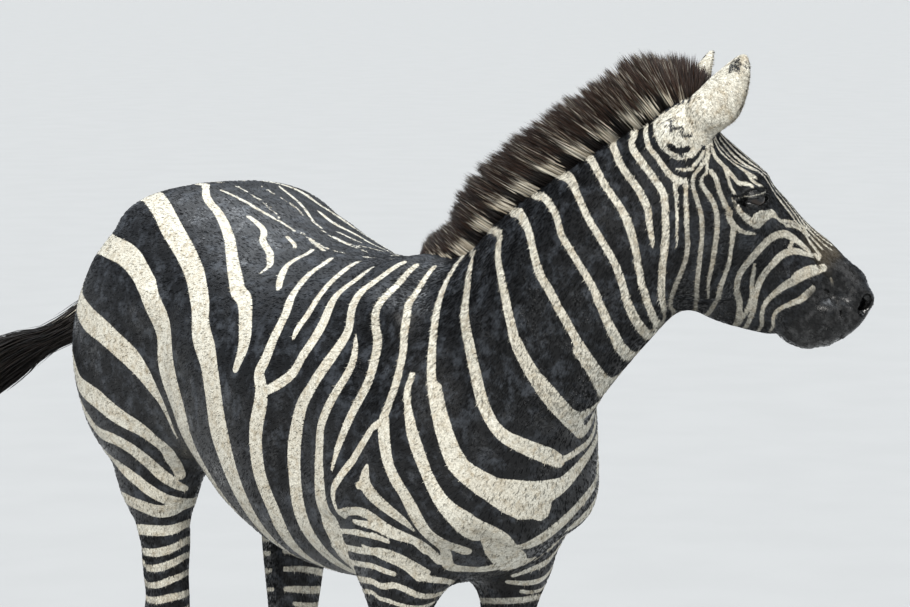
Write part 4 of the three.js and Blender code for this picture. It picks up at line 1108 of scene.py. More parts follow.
class Nodes:
    """A small hand for wiring a node tree."""

    def __init__(self, tree):
        self.tree = tree

    def add(self, kind, inputs=None, **settings):
        node = self.tree.nodes.new(kind)
        for key, value in settings.items():
            setattr(node, key, value)
        for key, value in (inputs or {}).items():
            if isinstance(value, bpy.types.NodeSocket):
                self.tree.links.new(value, node.inputs[key])
            else:
                node.inputs[key].default_value = value
        return node

    def link(self, value, socket):
        self.tree.links.new(value, socket)

    def math(self, operation, a, b=0.0):
        return self.add("ShaderNodeMath", {0: a, 1: b}, operation=operation).outputs[0]

    def times(self, a, b):
        return self.math("MULTIPLY", a, b)

    def ramp(self, value, low, high, to_low=0.0, to_high=1.0):
        """The value eased from one range to another."""
        inputs = {"Value": value, "From Min": low, "From Max": high, "To Min": to_low, "To Max": to_high}
        return self.add("ShaderNodeMapRange", inputs, interpolation_type="SMOOTHSTEP").outputs["Result"]

    def mix(self, share, a, b, blend="MIX"):
        """Colour b laid over colour a."""
        inputs = {0: share, 6: a, 7: b}
        return self.add("ShaderNodeMix", inputs, data_type="RGBA", blend_type=blend).outputs[2]

    def noise(self, scale, detail=3.0, rough=0.5, vector=None):
        """Noise of so many lumps a metre."""
        inputs = {"Scale": scale, "Detail": detail, "Roughness": rough, "Vector": vector or self.place()}
        return self.add("ShaderNodeTexNoise", inputs).outputs[0]

    def place(self):
        return self.add("ShaderNodeTexCoord").outputs["Object"]

    def stretched(self, x, y, z):
        """Places multiplied by a number for each axis."""
        return self.add("ShaderNodeMapping", {"Vector": self.place(), "Scale": (x, y, z)}).outputs[0]

    def attribute(self, name):
        return self.add("ShaderNodeAttribute", attribute_name=name, attribute_type="GEOMETRY").outputs["Fac"]


def grey(value):
    return value, value, value, 1


def new_material(name):
    """A material, a hand for its nodes and its shader."""
    material = bpy.data.materials.new(name)
    material.use_nodes = True
    return material, Nodes(material.node_tree), material.node_tree.nodes["Principled BSDF"]


def group(name, inputs, outputs):
    """A new shader node group and its wiring hand."""
    tree = bpy.data.node_groups.new(name, "ShaderNodeTree")
    for key, (kind, value) in inputs.items():
        socket = tree.interface.new_socket(key, in_out="INPUT", socket_type=kind)
        socket.default_value = value
    for key, kind in outputs.items():
        tree.interface.new_socket(key, in_out="OUTPUT", socket_type=kind)
    hand = Nodes(tree)
    return tree, hand, hand.add("NodeGroupInput").outputs, hand.add("NodeGroupOutput").inputs


def zebra_hair_group(sizes):
    """Colours of the coat from how deep in a white stroke a place is, how dark and how brown it is; the
    darkness is partly bare skin and partly painted shade.
    """
    colour, number = "NodeSocketColor", "NodeSocketFloat"
    inputs = {
        "Depth": (number, 0.0), "Dark": (number, 0.0), "Brown": (number, 0.0), "Raggedness": (number, 2.0),
        "Shade": (number, 0.5),
        "White": (colour, (*sizes.white, 1)), "Black": (colour, (*sizes.black, 1)),
        "Tan": (colour, (*sizes.tan, 1)),
    }
    outputs = {"Color": colour, "Roughness": number, "Wet": number}
    tree, n, given, out = group("zebra_hair", inputs, outputs)
    fine = n.noise(430, 2.0, 0.6)
    streak = n.noise(1.0, 2.0, 0.6, n.stretched(520, 520, 110))
    wide = n.noise(9, 3.0, 0.55)
    ragged = n.times(n.math("SUBTRACT", n.math("ADD", fine, streak), 1.0), given["Raggedness"])
    mask = n.ramp(n.math("ADD", given["Depth"], ragged), -0.7, 0.7)
    dirt = n.times(n.ramp(n.noise(60, 4.0, 0.7), 0.44, 0.72), 0.75)
    soil = n.mix(dirt, given["White"], given["Tan"])
    dust = n.times(n.ramp(n.noise(260, 3.0, 0.7), 0.58, 0.70), 0.6)
    white = n.mix(dust, soil, (0.10, 0.09, 0.085, 1))
    white = n.mix(n.ramp(wide, 0.35, 0.65, 0.0, 0.35), white, n.mix(0.5, given["White"], given["Tan"]))
    pale = n.times(n.ramp(n.noise(900, 2.0, 0.7), 0.6, 0.8), 0.18)
    black = n.mix(pale, given["Black"], (0.07, 0.07, 0.075, 1))
    # Bluish-grey patches in the black: partly dust, partly painted sheen.
    dust_and_sheen = n.times(n.ramp(n.noise(34, 5.0, 0.7), 0.46, 0.66), n.ramp(wide, 0.30, 0.62, 0.35, 1.0))
    black = n.mix(dust_and_sheen, black, (0.040, 0.045, 0.053, 1))
    grain = n.math("ADD", n.times(n.noise(330, 3.0, 0.75), 0.7), n.times(given["Shade"], 0.5))
    white = n.mix(1.0, white, n.mix(n.ramp(grain, 0.36, 0.84), (0.40, 0.385, 0.36, 1), grey(1.3)), "MULTIPLY")
    both = n.mix(mask, black, white)
    both = n.mix(given["Brown"], both, n.mix(0.75, both, given["Tan"]))
    # Dark mixes toward near-black bare skin on the muzzle, lids and coronets; under the head, in the nostrils
    # and in the ear cups it is painted shade.
    bare_skin_and_shade = n.mix(n.ramp(n.noise(85, 4.0, 0.7), 0.45, 0.75), grey(0.003), grey(0.030))
    both = n.mix(n.ramp(given["Dark"], 0.0, 1.0), both, bare_skin_and_shade)
    # Painted shade: Dark over 1.1 turns near black, inside the nostrils.
    both = n.mix(n.ramp(given["Dark"], 1.1, 1.5), both, grey(0.002))
    n.link(both, out["Color"])
    coat = n.mix(mask, n.mix(fine, grey(0.30), grey(0.5)), grey(0.6))
    wet = n.mix(n.ramp(n.noise(90, 3.0, 0.7), 0.35, 0.65), grey(0.14), grey(0.4))
    n.link(n.mix(n.ramp(given["Dark"], 0.6, 1.0), coat, wet), out["Roughness"])
    damp = n.times(n.ramp(n.noise(22, 4.0, 0.7), 0.46, 0.66), n.ramp(n.noise(230, 2.0, 0.6), 0.42, 0.62))
    licked = n.times(n.ramp(given["Dark"], 0.6, 1.0), n.ramp(n.noise(48, 4.0, 0.7), 0.50, 0.60))
    damp = n.math("MAXIMUM", damp, licked)
    n.link(n.times(damp, n.ramp(mask, 0.0, 1.0, 0.9, 0.35)), out["Wet"])
    return tree


def coat_material(name, tree, raggedness, bump, laid=False, sheen=0.04, gloss=0.14):
    """Hair in the coat's colours over a fine bump of strands."""
    material, n, shader = new_material(name)
    hair = n.add("ShaderNodeGroup", node_tree=tree)
    for key, attribute in (("Depth", "stripe"), ("Dark", "dark"), ("Brown", "brown")):
        n.link(n.attribute(attribute), hair.inputs[key])
    hair.inputs["Raggedness"].default_value = raggedness
    n.link(hair.outputs["Color"], shader.inputs["Base Color"])
    n.link(hair.outputs["Roughness"], shader.inputs["Roughness"])
    n.link(hair.outputs["Wet"], shader.inputs["Coat Weight"])
    shader.inputs["Coat Roughness"].default_value = 0.2
    strands = n.math("ADD", n.noise(1.0, 3.0, 0.6, n.stretched(600, 600, 140)), n.noise(500, 2.0, 0.6))
    inputs = {"Strength": bump, "Distance": 0.0012, "Height": strands}
    if laid:
        n.link(n.attribute("shade"), hair.inputs["Shade"])
        lay = n.add("ShaderNodeAttribute", attribute_name="lay", attribute_type="GEOMETRY").outputs["Vector"]
        true = n.add("ShaderNodeNewGeometry").outputs["Normal"]
        both = n.add("ShaderNodeMix", {0: 0.14, 4: lay, 5: true}, data_type="VECTOR").outputs[1]
        inputs["Normal"] = n.add("ShaderNodeVectorMath", {0: both}, operation="NORMALIZE").outputs[0]
    height = n.add("ShaderNodeBump", inputs).outputs[0]
    n.link(height, shader.inputs["Normal"])
    shader.inputs["Sheen Weight"].default_value = sheen
    shader.inputs["Sheen Roughness"].default_value = 0.4
    shader.inputs["Sheen Tint"].default_value = (0.75, 0.8, 0.9, 1)
    shader.inputs["Specular IOR Level"].default_value = gloss
    return material


def strands(path, side, ridge, wide, tall):
    """Closed blades: each carries a flat triangle, wide across and tall at its ridge, along its own path of
    K places, and closes to a point at the last. All are arrays with one row for each blade, and the last
    result is each vertex's blade."""
    n, k = path.shape[:2]
    left, right = path[:, :-1] - side * wide[..., None] / 2, path[:, :-1] + side * wide[..., None] / 2
    top = path[:, :-1] + ridge * tall[..., None]
    points = np.concatenate((np.stack((left, top, right), 2).reshape(n, -1, 3), path[:, -1:]), 1)
    faces = [(0, 2, 1)]
    for i in range(k - 2):
        for a, b in ((0, 1), (1, 2), (2, 0)):
            p, q = 3 * i + a, 3 * i + b
            faces += [(p, q, q + 3), (p, q + 3, p + 3)]
    end, tip = 3 * (k - 2), 3 * (k - 1)
    faces += [(end + a, end + b, tip) for a, b in ((0, 1), (1, 2), (2, 0))]
    faces = np.array(faces)[None] + (np.arange(n) * (3 * k - 2))[:, None, None]
    points, faces = points.reshape(-1, 3), faces.reshape(-1, 3)
    one = faces[: len(faces) // n]
    a, b, c = (points[one[:, i]] - points[0] for i in range(3))
    if np.einsum("ij,ij->", a, np.cross(b, c)) < 0:
        faces = faces[:, ::-1]
    return points, faces, np.repeat(np.arange(n), 3 * k - 2)


def patch_uv(place, count, each):
    """A patch about 0.003 across for each blade, at its root's place on the unwrapped skin."""
    turn = np.arange(each) / each * 2 * np.pi
    ring = np.stack((np.cos(turn), np.sin(turn)), -1) * 0.0015
    return (place[:, None] + ring[None]).reshape(-1, 2)


def unwrapped(p):
    """Where points of the skin lie on a flat map of it: each limb has a strip of its own, with its length
    one way and the turn round it the other."""
    out = np.zeros((len(p), 2))

    def lay(which, along, angle, low=0.02, tall=0.46):
        out[which] = np.stack((along, low + tall * (angle / (2 * np.pi) + 0.5)), -1)

    place, angle = TRUNK_LIMB.local(p)
    lay(slice(None), 0.05 + 0.4 * np.clip((place + 600) / 1300, 0, 1), angle)
    neck = (TRUNK_LIMB(p) > 20) & (p[:, 1] < -300) & (p[:, 2] > 900)
    share, angle = NECK_LIMB.local(p[neck])
    lay(neck, 0.5 + 0.2 * share, angle)
    head = near_head(p)
    place, angle = SKULL.local(p[head])
    lay(head, 0.72 + 0.25 * np.clip(place / 500, -0.1, 1.05), angle)
    for k, (limb, sign) in enumerate(LEGS.values()):
        leg = (p[:, 2] < 700) & (p[:, 0] * sign > 0) & ((p[:, 1] > 0) == (k > 1))
        place, angle = limb.local(p[leg])
        lay(leg, 0.05 + 0.4 * place / 760, angle, 0.52 + 0.12 * k, 0.1)
    return np.clip(out, 0.01, 0.99)


def near_head(p):
    """Which points are on the head rather than the neck."""
    along, aside, up = in_head(p).T
    return (along * 0.81 + up * 0.585 > -8) & (np.abs(aside) < 150) & (up > -330) & (along > -60)


def flow(p, normal):
    """The way the hair lies: back and down the trunk, back along the neck, down the legs and the face."""
    way = np.tile((0.0, 1.0, -0.35), (len(p), 1))
    way[:, 2] -= 0.8 * smoothstep(-p[:, 2], -1000, -700)
    neck = (p[:, 1] < -380) & (p[:, 2] > 950)
    share, _ = NECK_LIMB.local(p[neck])
    way[neck] = -NECK_LIMB.frame(share)[1] + np.array((0, 0, -0.45))
    legs = smoothstep(-p[:, 2], -760, -560)[:, None]
    way = way * (1 - legs) + legs * np.array((0, 0.12, -1.0))
    head = near_head(p)
    q = in_head(p[head])
    cheek = smoothstep(-q[:, 2], 60, 130)[:, None] * smoothstep(-q[:, 0], -330, -230)[:, None]
    turn = HEAD_ALONG * (1 - cheek) + cheek * (-0.5 * HEAD_ALONG - 0.9 * HEAD_UP)
    way[head] = turn
    way = way + 0.12 * np.sin(p / 37 + np.roll(p, 1, -1) / 53)
    return unit(way - (way * normal).sum(-1, keepdims=True) * normal)


def mane_shape(share):
    """Roots along the crest, the way up from them, the way ahead and aside, and the mane's height there."""
    fan = np.clip(share - MANE_ON_NECK, 0, 1) / (1 - MANE_ON_NECK)
    centre, ahead, side, up = NECK_LIMB.frame(np.minimum(share / MANE_ON_NECK, 1))
    crest = march(NECK_LIMB, centre, up, body_field, 60)
    poll = from_head((34, 0, 0))
    root = crest + (poll - crest) * fan[..., None]
    up = unit(up + (HEAD_UP - up) * (fan * 0.8)[..., None])
    rows = np.array(MANE)
    height = section_at(sections(np.hstack((rows, rows[:, 1:]))), share)[..., 0]
    return root, up, ahead, side, height


def eyeball(sign, rows=40, columns=48):
    """A ball with the cornea's low dome: radius 20.7 + 1.5 exp(-(angle / 0.52)^4) at each angle from the
    look."""
    look, slit, rise = (mirrored(v, sign) @ HEAD_AXES for v in (EYE_LOOK, unit(EYE_SLIT), EYE_RISE))
    angle = (np.linspace(0, 1, rows) ** 1.2 * np.pi)[1:-1, None]
    turn = np.linspace(0, 2 * np.pi, columns, endpoint=False)[None]
    r = EYE_RADIUS - 0.3 + 1.5 * np.exp(-((angle / 0.52) ** 4))
    x, y, z = r * np.sin(angle) * np.cos(turn), r * np.sin(angle) * np.sin(turn), r * np.cos(angle) + 0 * turn
    local = np.stack((x, y, z), -1).reshape(-1, 3)
    local = np.vstack((local, (0, 0, EYE_RADIUS + 1.2), (0, 0, -EYE_RADIUS + 0.3)))
    centre = from_head(mirrored(EYE_PLACE, sign))
    points = centre + local @ np.stack((slit, rise, look))
    return points, outward(points - centre, tube_faces(rows - 2, columns, True)), local


def hoof_shape(limb, sign, rows=26, columns=72):
    """A hoof: at share s from the coronet to the sole a superellipse of power 2.2 that grows and moves
    forward evenly, with growth rings and a bevelled rim, closed flat below and inside above."""
    _, side, ahead, width, front, back = limb[0][:6]
    s = np.concatenate((np.linspace(-0.12, 0.97, rows - 2), (1.0, 1.0)))[:, None]
    turn = np.linspace(0, 2 * np.pi, columns, endpoint=False)[None]
    grow = np.clip(s, -0.1, 1)
    rings = 0.5 * np.sin(s * 34 + 0.6 * np.sin(turn * 2)) * smoothstep(s, 0.05, 0.2) * (s < 0.95)
    band = 2.2 * np.exp(-(((s - 0.02) / 0.07) ** 2))
    w = width + HOOF["out"] * grow + rings + band
    tall = np.where(np.sin(turn) > 0, front + HOOF["toe"] * grow, back + HOOF["heel"] * grow) + rings + band
    n = HOOF["roundness"]
    r = (np.abs(np.cos(turn) / w) ** n + np.abs(np.sin(turn) / tall) ** n) ** (-1 / n)
    r = r * np.where(np.arange(rows)[:, None] == rows - 1, 0.94, 1.0) - 1.5 * (s >= 0.97)
    r = r * np.where(np.arange(rows)[:, None] == 0, 0.8, 1.0)
    x = sign * side + r * np.cos(turn)
    y = -(ahead + HOOF["forward"] * grow + r * np.sin(turn))
    z = CORONET * (1 - s) + 0 * turn
    z = np.where(np.arange(rows)[:, None] == rows - 2, 2.0, z)
    z[-1] = 0
    points = np.stack((x, y, z), -1)
    ends = points[[0, -1]].mean(1)
    points = np.vstack((points.reshape(-1, 3), ends))
    return points, outward(points - points.mean(0), tube_faces(rows, columns, True))


# ---- Settings and operators
def paint(name, description, default):
    """A colour setting."""
    return FloatVectorProperty(name=name, description=description, subtype="COLOR", size=3, min=0, max=1,
                               default=default)


class ZebraSettings(bpy.types.PropertyGroup):
    """Sizes and colours of the zebra."""

    white: paint("White hair", "Colour of the pale stripes", (0.79, 0.77, 0.675))
    black: paint("Black hair", "Colour of the dark stripes", (0.0032, 0.0034, 0.004))
    # Tan also browns the nose bridge, and, as painted shade, the inside of the ear cups.
    tan: paint("Soiled hair", "Colour of dust and stain in the pale hair", (0.42, 0.34, 0.22))
    horn: paint("Horn", "Colour of the hooves", (0.05, 0.042, 0.036))
    floor: paint("Floor", "Colour of the floor", (0.37, 0.37, 0.365))
    net: FloatProperty(name="Skin cell", description="Cell of the first net laid over the flesh",
                       unit="LENGTH", default=0.0125, min=0.008, max=0.02)
    mane_blades: IntProperty(name="Mane blades", description="Blades of hair in the mane", default=24000,
                             min=100)
    tail_blades: IntProperty(name="Tail blades", description="Blades of hair in the tail", default=5200,
                             min=100)
    tufts: IntProperty(name="Tufts", description="Tufts of short hair on the trunk", default=46000, min=100)


built = {}


def settings():
    return bpy.context.scene.zebra


class Zebra_OT_skin(bpy.types.Operator):
    """One closed skin from the muzzle to the dock and down to the hooves, with its stripes"""

    bl_idname = "zebra.skin"
    bl_label = "Skin"

    def execute(self, context):
        strokes = all_strokes()
        points, tris = netted(skin_field, (-342.3, -990.7, 41.1), (520, 920, 1650), settings().net * MM)
        points = relaxed(onto(skin_field, points, 2, 6.0), tris, skin_field, 0.5, 2)
        spots = [(from_head(mirrored(place, s)), r) for place, r in ((EYE_PLACE, 33), (NOSTRIL_MIDDLE, 26))
                 for s in (1, -1)]

        def wanted(p):
            depth = strokes.depth(p)
            size = np.where(np.abs(depth) < 5.8, 9.3, 19.0)
            size = np.where((p[:, 2] < 700) & (np.abs(depth) < 9), 9.0, size)
            size = np.where(near_head(p), np.where(np.abs(depth) < 4.5, 5.4, 9.0), size)
            for centre, radius in spots:
                size = np.where(np.linalg.norm(p - centre, axis=-1) < radius, 3.2, size)
            return size

        for _ in range(3):
            points, tris = refined(points, tris, skin_field, wanted)
            points = relaxed(points, tris, skin_field, 0.35, 1)
        body = mesh_object("skin", points, tris, materials()["skin"])
        for sign, side in ((1, "left"), (-1, "right")):
            ear_points, ear_tris = ear_shell(sign)
            ear = mesh_object("ear_tool", ear_points, outward(ear_points - ear_points.mean(0), ear_tris),
                              materials()["skin"])
            union = body.modifiers.new("Ear", "BOOLEAN")
            union.operation, union.object, union.solver = "UNION", ear, "EXACT"
            with context.temp_override(object=body, active_object=body, selected_objects=[body]):
                bpy.context.view_layer.objects.active = body
                bpy.ops.object.modifier_apply(modifier=union.name)
            bpy.data.objects.remove(ear, do_unlink=True)
        body.data.shade_smooth()
        for key, values in marks(vertices_of(body.data), strokes).items():
            attribute = body.data.attributes.new(key, "FLOAT", "POINT")
            attribute.data.foreach_set("value", values.astype(np.float32))
        legs = [f"{leg}_{part}" for leg in LEGS for part in ("upper", "lower")]
        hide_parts("trunk", "neck", "head", "ear_left", "ear_right", "tail_dock", *legs)
        built["strokes"] = strokes
        return {"FINISHED"}


def ear_marks(p):
    """Which points belong to the ears, their stripe depth and how far inside the cup they are. The back is
    pale, with dark blotches at its root and a dark patch under its tip."""
    depth, mine = np.zeros(len(p)), np.zeros(len(p), bool)
    inside = np.zeros(len(p))
    for sign in (1, -1):
        root, axis, across, mouth = ear_axes(sign)
        q = p - root
        t, u, v = q @ axis / EAR["length"], q @ across * sign, q @ mouth
        here = (t > 0.22) & (t < 1.05) & (np.hypot(u, v) < 52)
        here |= (t > 0.02) & (t <= 0.22) & (v < 8) & (np.hypot(u, v) < 56) & (in_head(p)[:, 2] > -62)
        mine |= here
        blotch = np.sin(u / 7.5 + 1.3 + t * 9) + np.sin(t * 29 + u / 13 + 0.5) + np.sin(v / 8 + t * 17)
        patch = (np.hypot((t - 0.86) / 0.085, (u - 2) / 15) - 1) * 9
        patch = patch + 2.2 * np.sin(u / 3.1 + t * 60) + np.sin(t * 130)
        low = np.where(t < 0.4, 4.0 - 4.5 * np.maximum(blotch - 1.0 - 3.2 * np.maximum(t - 0.2, 0), 0), 12.0)
        low = np.where(u > 22, 12.0, low)
        value = np.minimum(np.maximum(patch, -0.5), low)
        cup = smoothstep(v, -6 + 8 * t, 6 + 8 * t) * smoothstep(t, 0.2, 0.35)
        inside = np.where(here, cup, inside)
        depth = np.where(here, np.where(cup > 0.5, 8.0, value), depth)
    return mine, depth, inside


def ear_root_marks(q, aside, depth):
    """Stripe depth over the swelling under each ear: a pale disc, mottled behind, with a dark crescent and a
    dark line across it, in a dark ring that is open toward the ear."""
    x, z = q[:, 0], q[:, 2]
    flat = np.stack((x, z), -1)
    r = np.hypot(x - 13, z + 78) + 1.2 * np.sin(x / 7) * np.cos(z / 6)
    mottle = np.sin(x / 2.3 + 1.9 * np.sin(z / 4.3)) + np.sin(z / 2.2 + 1.7 * np.sin(x / 3.9))
    behind = smoothstep(-0.8 * (x - 13) + 0.35 * (z + 78), 4, 22) * smoothstep(-r, -36, -31)
    spots = np.maximum(3 - 6 * np.maximum(mottle - 1.1 + 2.0 * behind, 0), -0.9)
    crescent = capsules(flat, ((9, -106), (18, -104), (28, -97), (36, -87), (39, -81)), 6.2)
    crescent = crescent + 0.011 * ((x - 25) ** 2 + (z + 97) ** 2) + 0.4 * np.sin(x / 2.7)
    line = capsules(flat, ((6, -84), (14, -80), (20, -78), (26, -69)), 2.2) + 1.6 * np.sin(x / 2.1)
    inner = np.minimum(np.minimum(40 - r, crescent), np.minimum(line, spots))
    open_side = (z > -54) & (x > -10) & (x < 60)
    value = np.where(open_side, spots, np.where(r < 40, inner, np.maximum(40 - r, -7.0)))
    here = (aside > 25) & (r < np.where(open_side, 52, 45)) & (z < -30)
    return np.where(here, value, depth)


def marks(p, strokes):
    """The coat's attributes at points: depth in a white stroke, how dark it is and how brown."""
    depth = strokes.depth(p)
    q = in_head(p)
    q[:, 1] = aside = np.abs(q[:, 1])
    head = near_head(p)
    a, b, _, r = eye_frame(q)
    lids = smoothstep(-np.hypot(a / 37, (b - 3 - 0.1 * a) / 17), -1.1, -0.9) * (r < 60)
    crease = (np.abs(b - 9.0 - 0.24 * a) < 0.9) & (np.abs(a + 4) < 30) & (r < 50)
    below = smoothstep(-np.hypot((a - 12) / 21, (b + 27.5) / 8.5), -1.15, -0.85) * (r < 60)
    ragged = 7 * np.sin(q[:, 2] / 11 + 2 * np.sin(aside / 9)) + 4 * np.sin(q[:, 2] / 4.3 + aside / 6)
    muzzle = smoothstep(q[:, 0] + 0.10 * (q[:, 2] + 100) + ragged, 352, 402)
    # Painted shade: the head darkens toward its underside, over the cheeks and jaw, as if shaded from above.
    painted_shade = 0.34 * smoothstep(-q[:, 2], 20, 130) + 0.16 * smoothstep(-q[:, 2], 150, 260)
    dark = np.where(head, np.maximum(np.maximum(lids * ~crease, muzzle), painted_shade), 0.0)
    depth = np.where(head & crease, 5.0, depth)
    dark = np.where(head & crease, 0.45, dark)
    # Painted shade: the inside of each nostril is marked past fully dark, which the coat's colours turn near
    # black.
    hole = capsules(q, NOSTRIL, 12.0)
    dark = np.where(head & (hole < 0) & (aside < 57), 1.6, dark)
    depth = np.where(head & (below > 0.5), 7.0, depth)
    dark = np.where(head, dark * (1 - below), dark)
    angle = np.degrees(np.arctan2(q[:, 2] + 100, aside))
    bridge = smoothstep(q[:, 0], 270, 340) * smoothstep(-q[:, 0], -400, -365) * smoothstep(angle, 34, 56)
    brown = np.where(head, 0.2 * bridge, 0.0)
    y, z, x = p[:, 1], p[:, 2], np.abs(p[:, 0])
    dorsal = (z > 1150) & (y > -330) & (y < 620)
    depth = np.where(dorsal, np.minimum(depth, x - 16 - 3 * np.sin(y / 23)), depth)
    edge = dorsal & (np.abs(x - 26 - 2 * np.sin(y / 31)) < 3.4) & (np.sin(y / 17) + np.sin(y / 41) > -0.5)
    depth = np.where(edge, np.maximum(depth, 1.6), depth)
    belly = (z < 760) & (y > -350) & (y < 420) & (x < 60)
    depth = np.where(belly, np.minimum(depth, x - 17 - 4 * np.sin(y / 29)), depth)
    share, _ = TAIL_LIMB.local(p)
    tail = (y > 690) & (z > 900) & (TAIL_LIMB(p) < 4) & (share > 0.16)
    bars = 5 * np.sin(share * 95) + 1.5
    depth = np.where(tail, np.where(x_on_tail(p) < 8, -6.0, bars), depth)
    coronet = smoothstep(-z, -92, -70)
    dark = np.maximum(dark, coronet * 0.8)
    depth = ear_root_marks(q, aside, depth)
    mine, ears, inside = ear_marks(p)
    depth = np.where(mine, ears, depth)
    # Painted shade: the ear's cup grows darker and browner the deeper inside it.
    dark = np.where(mine, 0.25 * inside, dark)
    brown = np.where(mine, 0.25 * inside, brown)
    return {"stripe": depth, "dark": dark, "brown": brown}


def x_on_tail(p):
    """How far points lie from the top line of the tail, round it."""
    _, angle = TAIL_LIMB.local(p)
    return np.abs(angle - np.pi / 2) * 24


def eye_material():
    """A wet dark ball: brown iris with a level oval pupil, from its distance across and up the gaze."""
    material, n, shader = new_material("wet_eye")
    x, y = n.attribute("gaze_x"), n.attribute("gaze_y")
    r = n.math("SQRT", n.math("ADD", n.times(x, x), n.times(y, y)))
    px, py = n.times(x, 1 / 7.5), n.times(y, 1 / 4.2)
    pupil = n.math("SQRT", n.math("ADD", n.times(px, px), n.times(py, py)))
    fibre = n.noise(900, 3.0, 0.6)
    iris = n.mix(n.ramp(fibre, 0.3, 0.7), (0.006, 0.003, 0.0015, 1), (0.022, 0.011, 0.005, 1))
    inner = n.mix(n.ramp(pupil, 0.9, 1.1), (0.002, 0.002, 0.003, 1), iris)
    ball = n.mix(n.ramp(r, 13.0, 15.0), inner, (0.005, 0.004, 0.004, 1))
    n.link(ball, shader.inputs["Base Color"])
    n.link(n.ramp(fibre, 0.2, 0.8, 0.03, 0.07), shader.inputs["Roughness"])
    shader.inputs["Coat Weight"].default_value = 0.15
    shader.inputs["Coat Roughness"].default_value = 0.05
    return material


def horn_material():
    """Worn horn: fine growth rings across it and short streaks down it."""
    material, n, shader = new_material("horn")
    rings = n.noise(1.0, 4.0, 0.6, n.stretched(14, 14, 420))
    streak = n.noise(1.0, 3.0, 0.6, n.stretched(300, 300, 30))
    both = n.times(n.math("ADD", rings, streak), 0.5)
    horn = (*settings().horn, 1)
    colour = n.mix(n.ramp(both, 0.38, 0.66), horn, (0.17, 0.145, 0.12, 1))
    colour = n.mix(n.ramp(n.noise(40, 4.0, 0.7), 0.5, 0.8), colour, (0.24, 0.2, 0.15, 1))
    n.link(colour, shader.inputs["Base Color"])
    n.link(n.ramp(both, 0.3, 0.7, 0.45, 0.75), shader.inputs["Roughness"])
    bump = n.add("ShaderNodeBump", {"Strength": 0.5, "Distance": 0.001, "Height": both})
    n.link(bump.outputs[0], shader.inputs["Normal"])
    return material


def mane_material():
    """Stiff hair in the mane's bands, with dark red-brown tips."""
    material, n, shader = new_material("mane_hair")
    mask = n.ramp(n.attribute("stripe"), -1.5, 1.5)
    shade, tip = n.attribute("shade"), n.attribute("tip")
    white = n.mix(shade, (0.68, 0.64, 0.54, 1), (0.42, 0.36, 0.27, 1))
    black = n.mix(shade, grey(0.003), (0.014, 0.010, 0.008, 1))
    body = n.mix(mask, black, white)
    tips = n.mix(shade, (0.006, 0.004, 0.003, 1), (0.050, 0.026, 0.016, 1))
    colour = n.mix(n.ramp(tip, 0.35, 0.9), body, tips)
    n.link(colour, shader.inputs["Base Color"])
    n.link(n.ramp(shade, 0.0, 1.0, 0.42, 0.62), shader.inputs["Roughness"])
    shader.inputs["Specular IOR Level"].default_value = 0.22
    fine = n.add("ShaderNodeBump", {"Strength": 0.3, "Distance": 0.0005, "Height": n.noise(800, 2.0)})
    n.link(fine.outputs[0], shader.inputs["Normal"])
    return material


def materials():
    """Every material, made once."""
    if "skin" not in built:
        tree = zebra_hair_group(settings())
        built["skin"] = coat_material("striped_skin", tree, 3.0, 0.35, sheen=0.0, gloss=0.3)
        built["tuft"] = coat_material("striped_coat", tree, 1.2, 0.16, laid=True)
        built["eye"], built["horn"], built["mane"] = eye_material(), horn_material(), mane_material()
    return built


class Zebra_OT_eyes(bpy.types.Operator):
    """Both eyeballs"""

    bl_idname = "zebra.eyes"
    bl_label = "Eyes"

    def execute(self, context):
        for sign, side in ((1, "left"), (-1, "right")):
            points, tris, local = eyeball(sign)
            gaze = {"gaze_x": local[:, 0], "gaze_y": local[:, 1]}
            mesh_object(f"eyeball_{side}", points, tris, materials()["eye"], [f"eye_{side}"], gaze)
        return {"FINISHED"}


class Zebra_OT_hooves(bpy.types.Operator):
    """Four hooves"""

    bl_idname = "zebra.hooves"
    bl_label = "Hooves"

    def execute(self, context):
        for leg, (rows, sign) in LEG_ROWS.items():
            points, tris = hoof_shape(rows, sign)
            mesh_object(f"horn_{leg}", points, tris, materials()["horn"], [f"hoof_{leg}"])
        return {"FINISHED"}


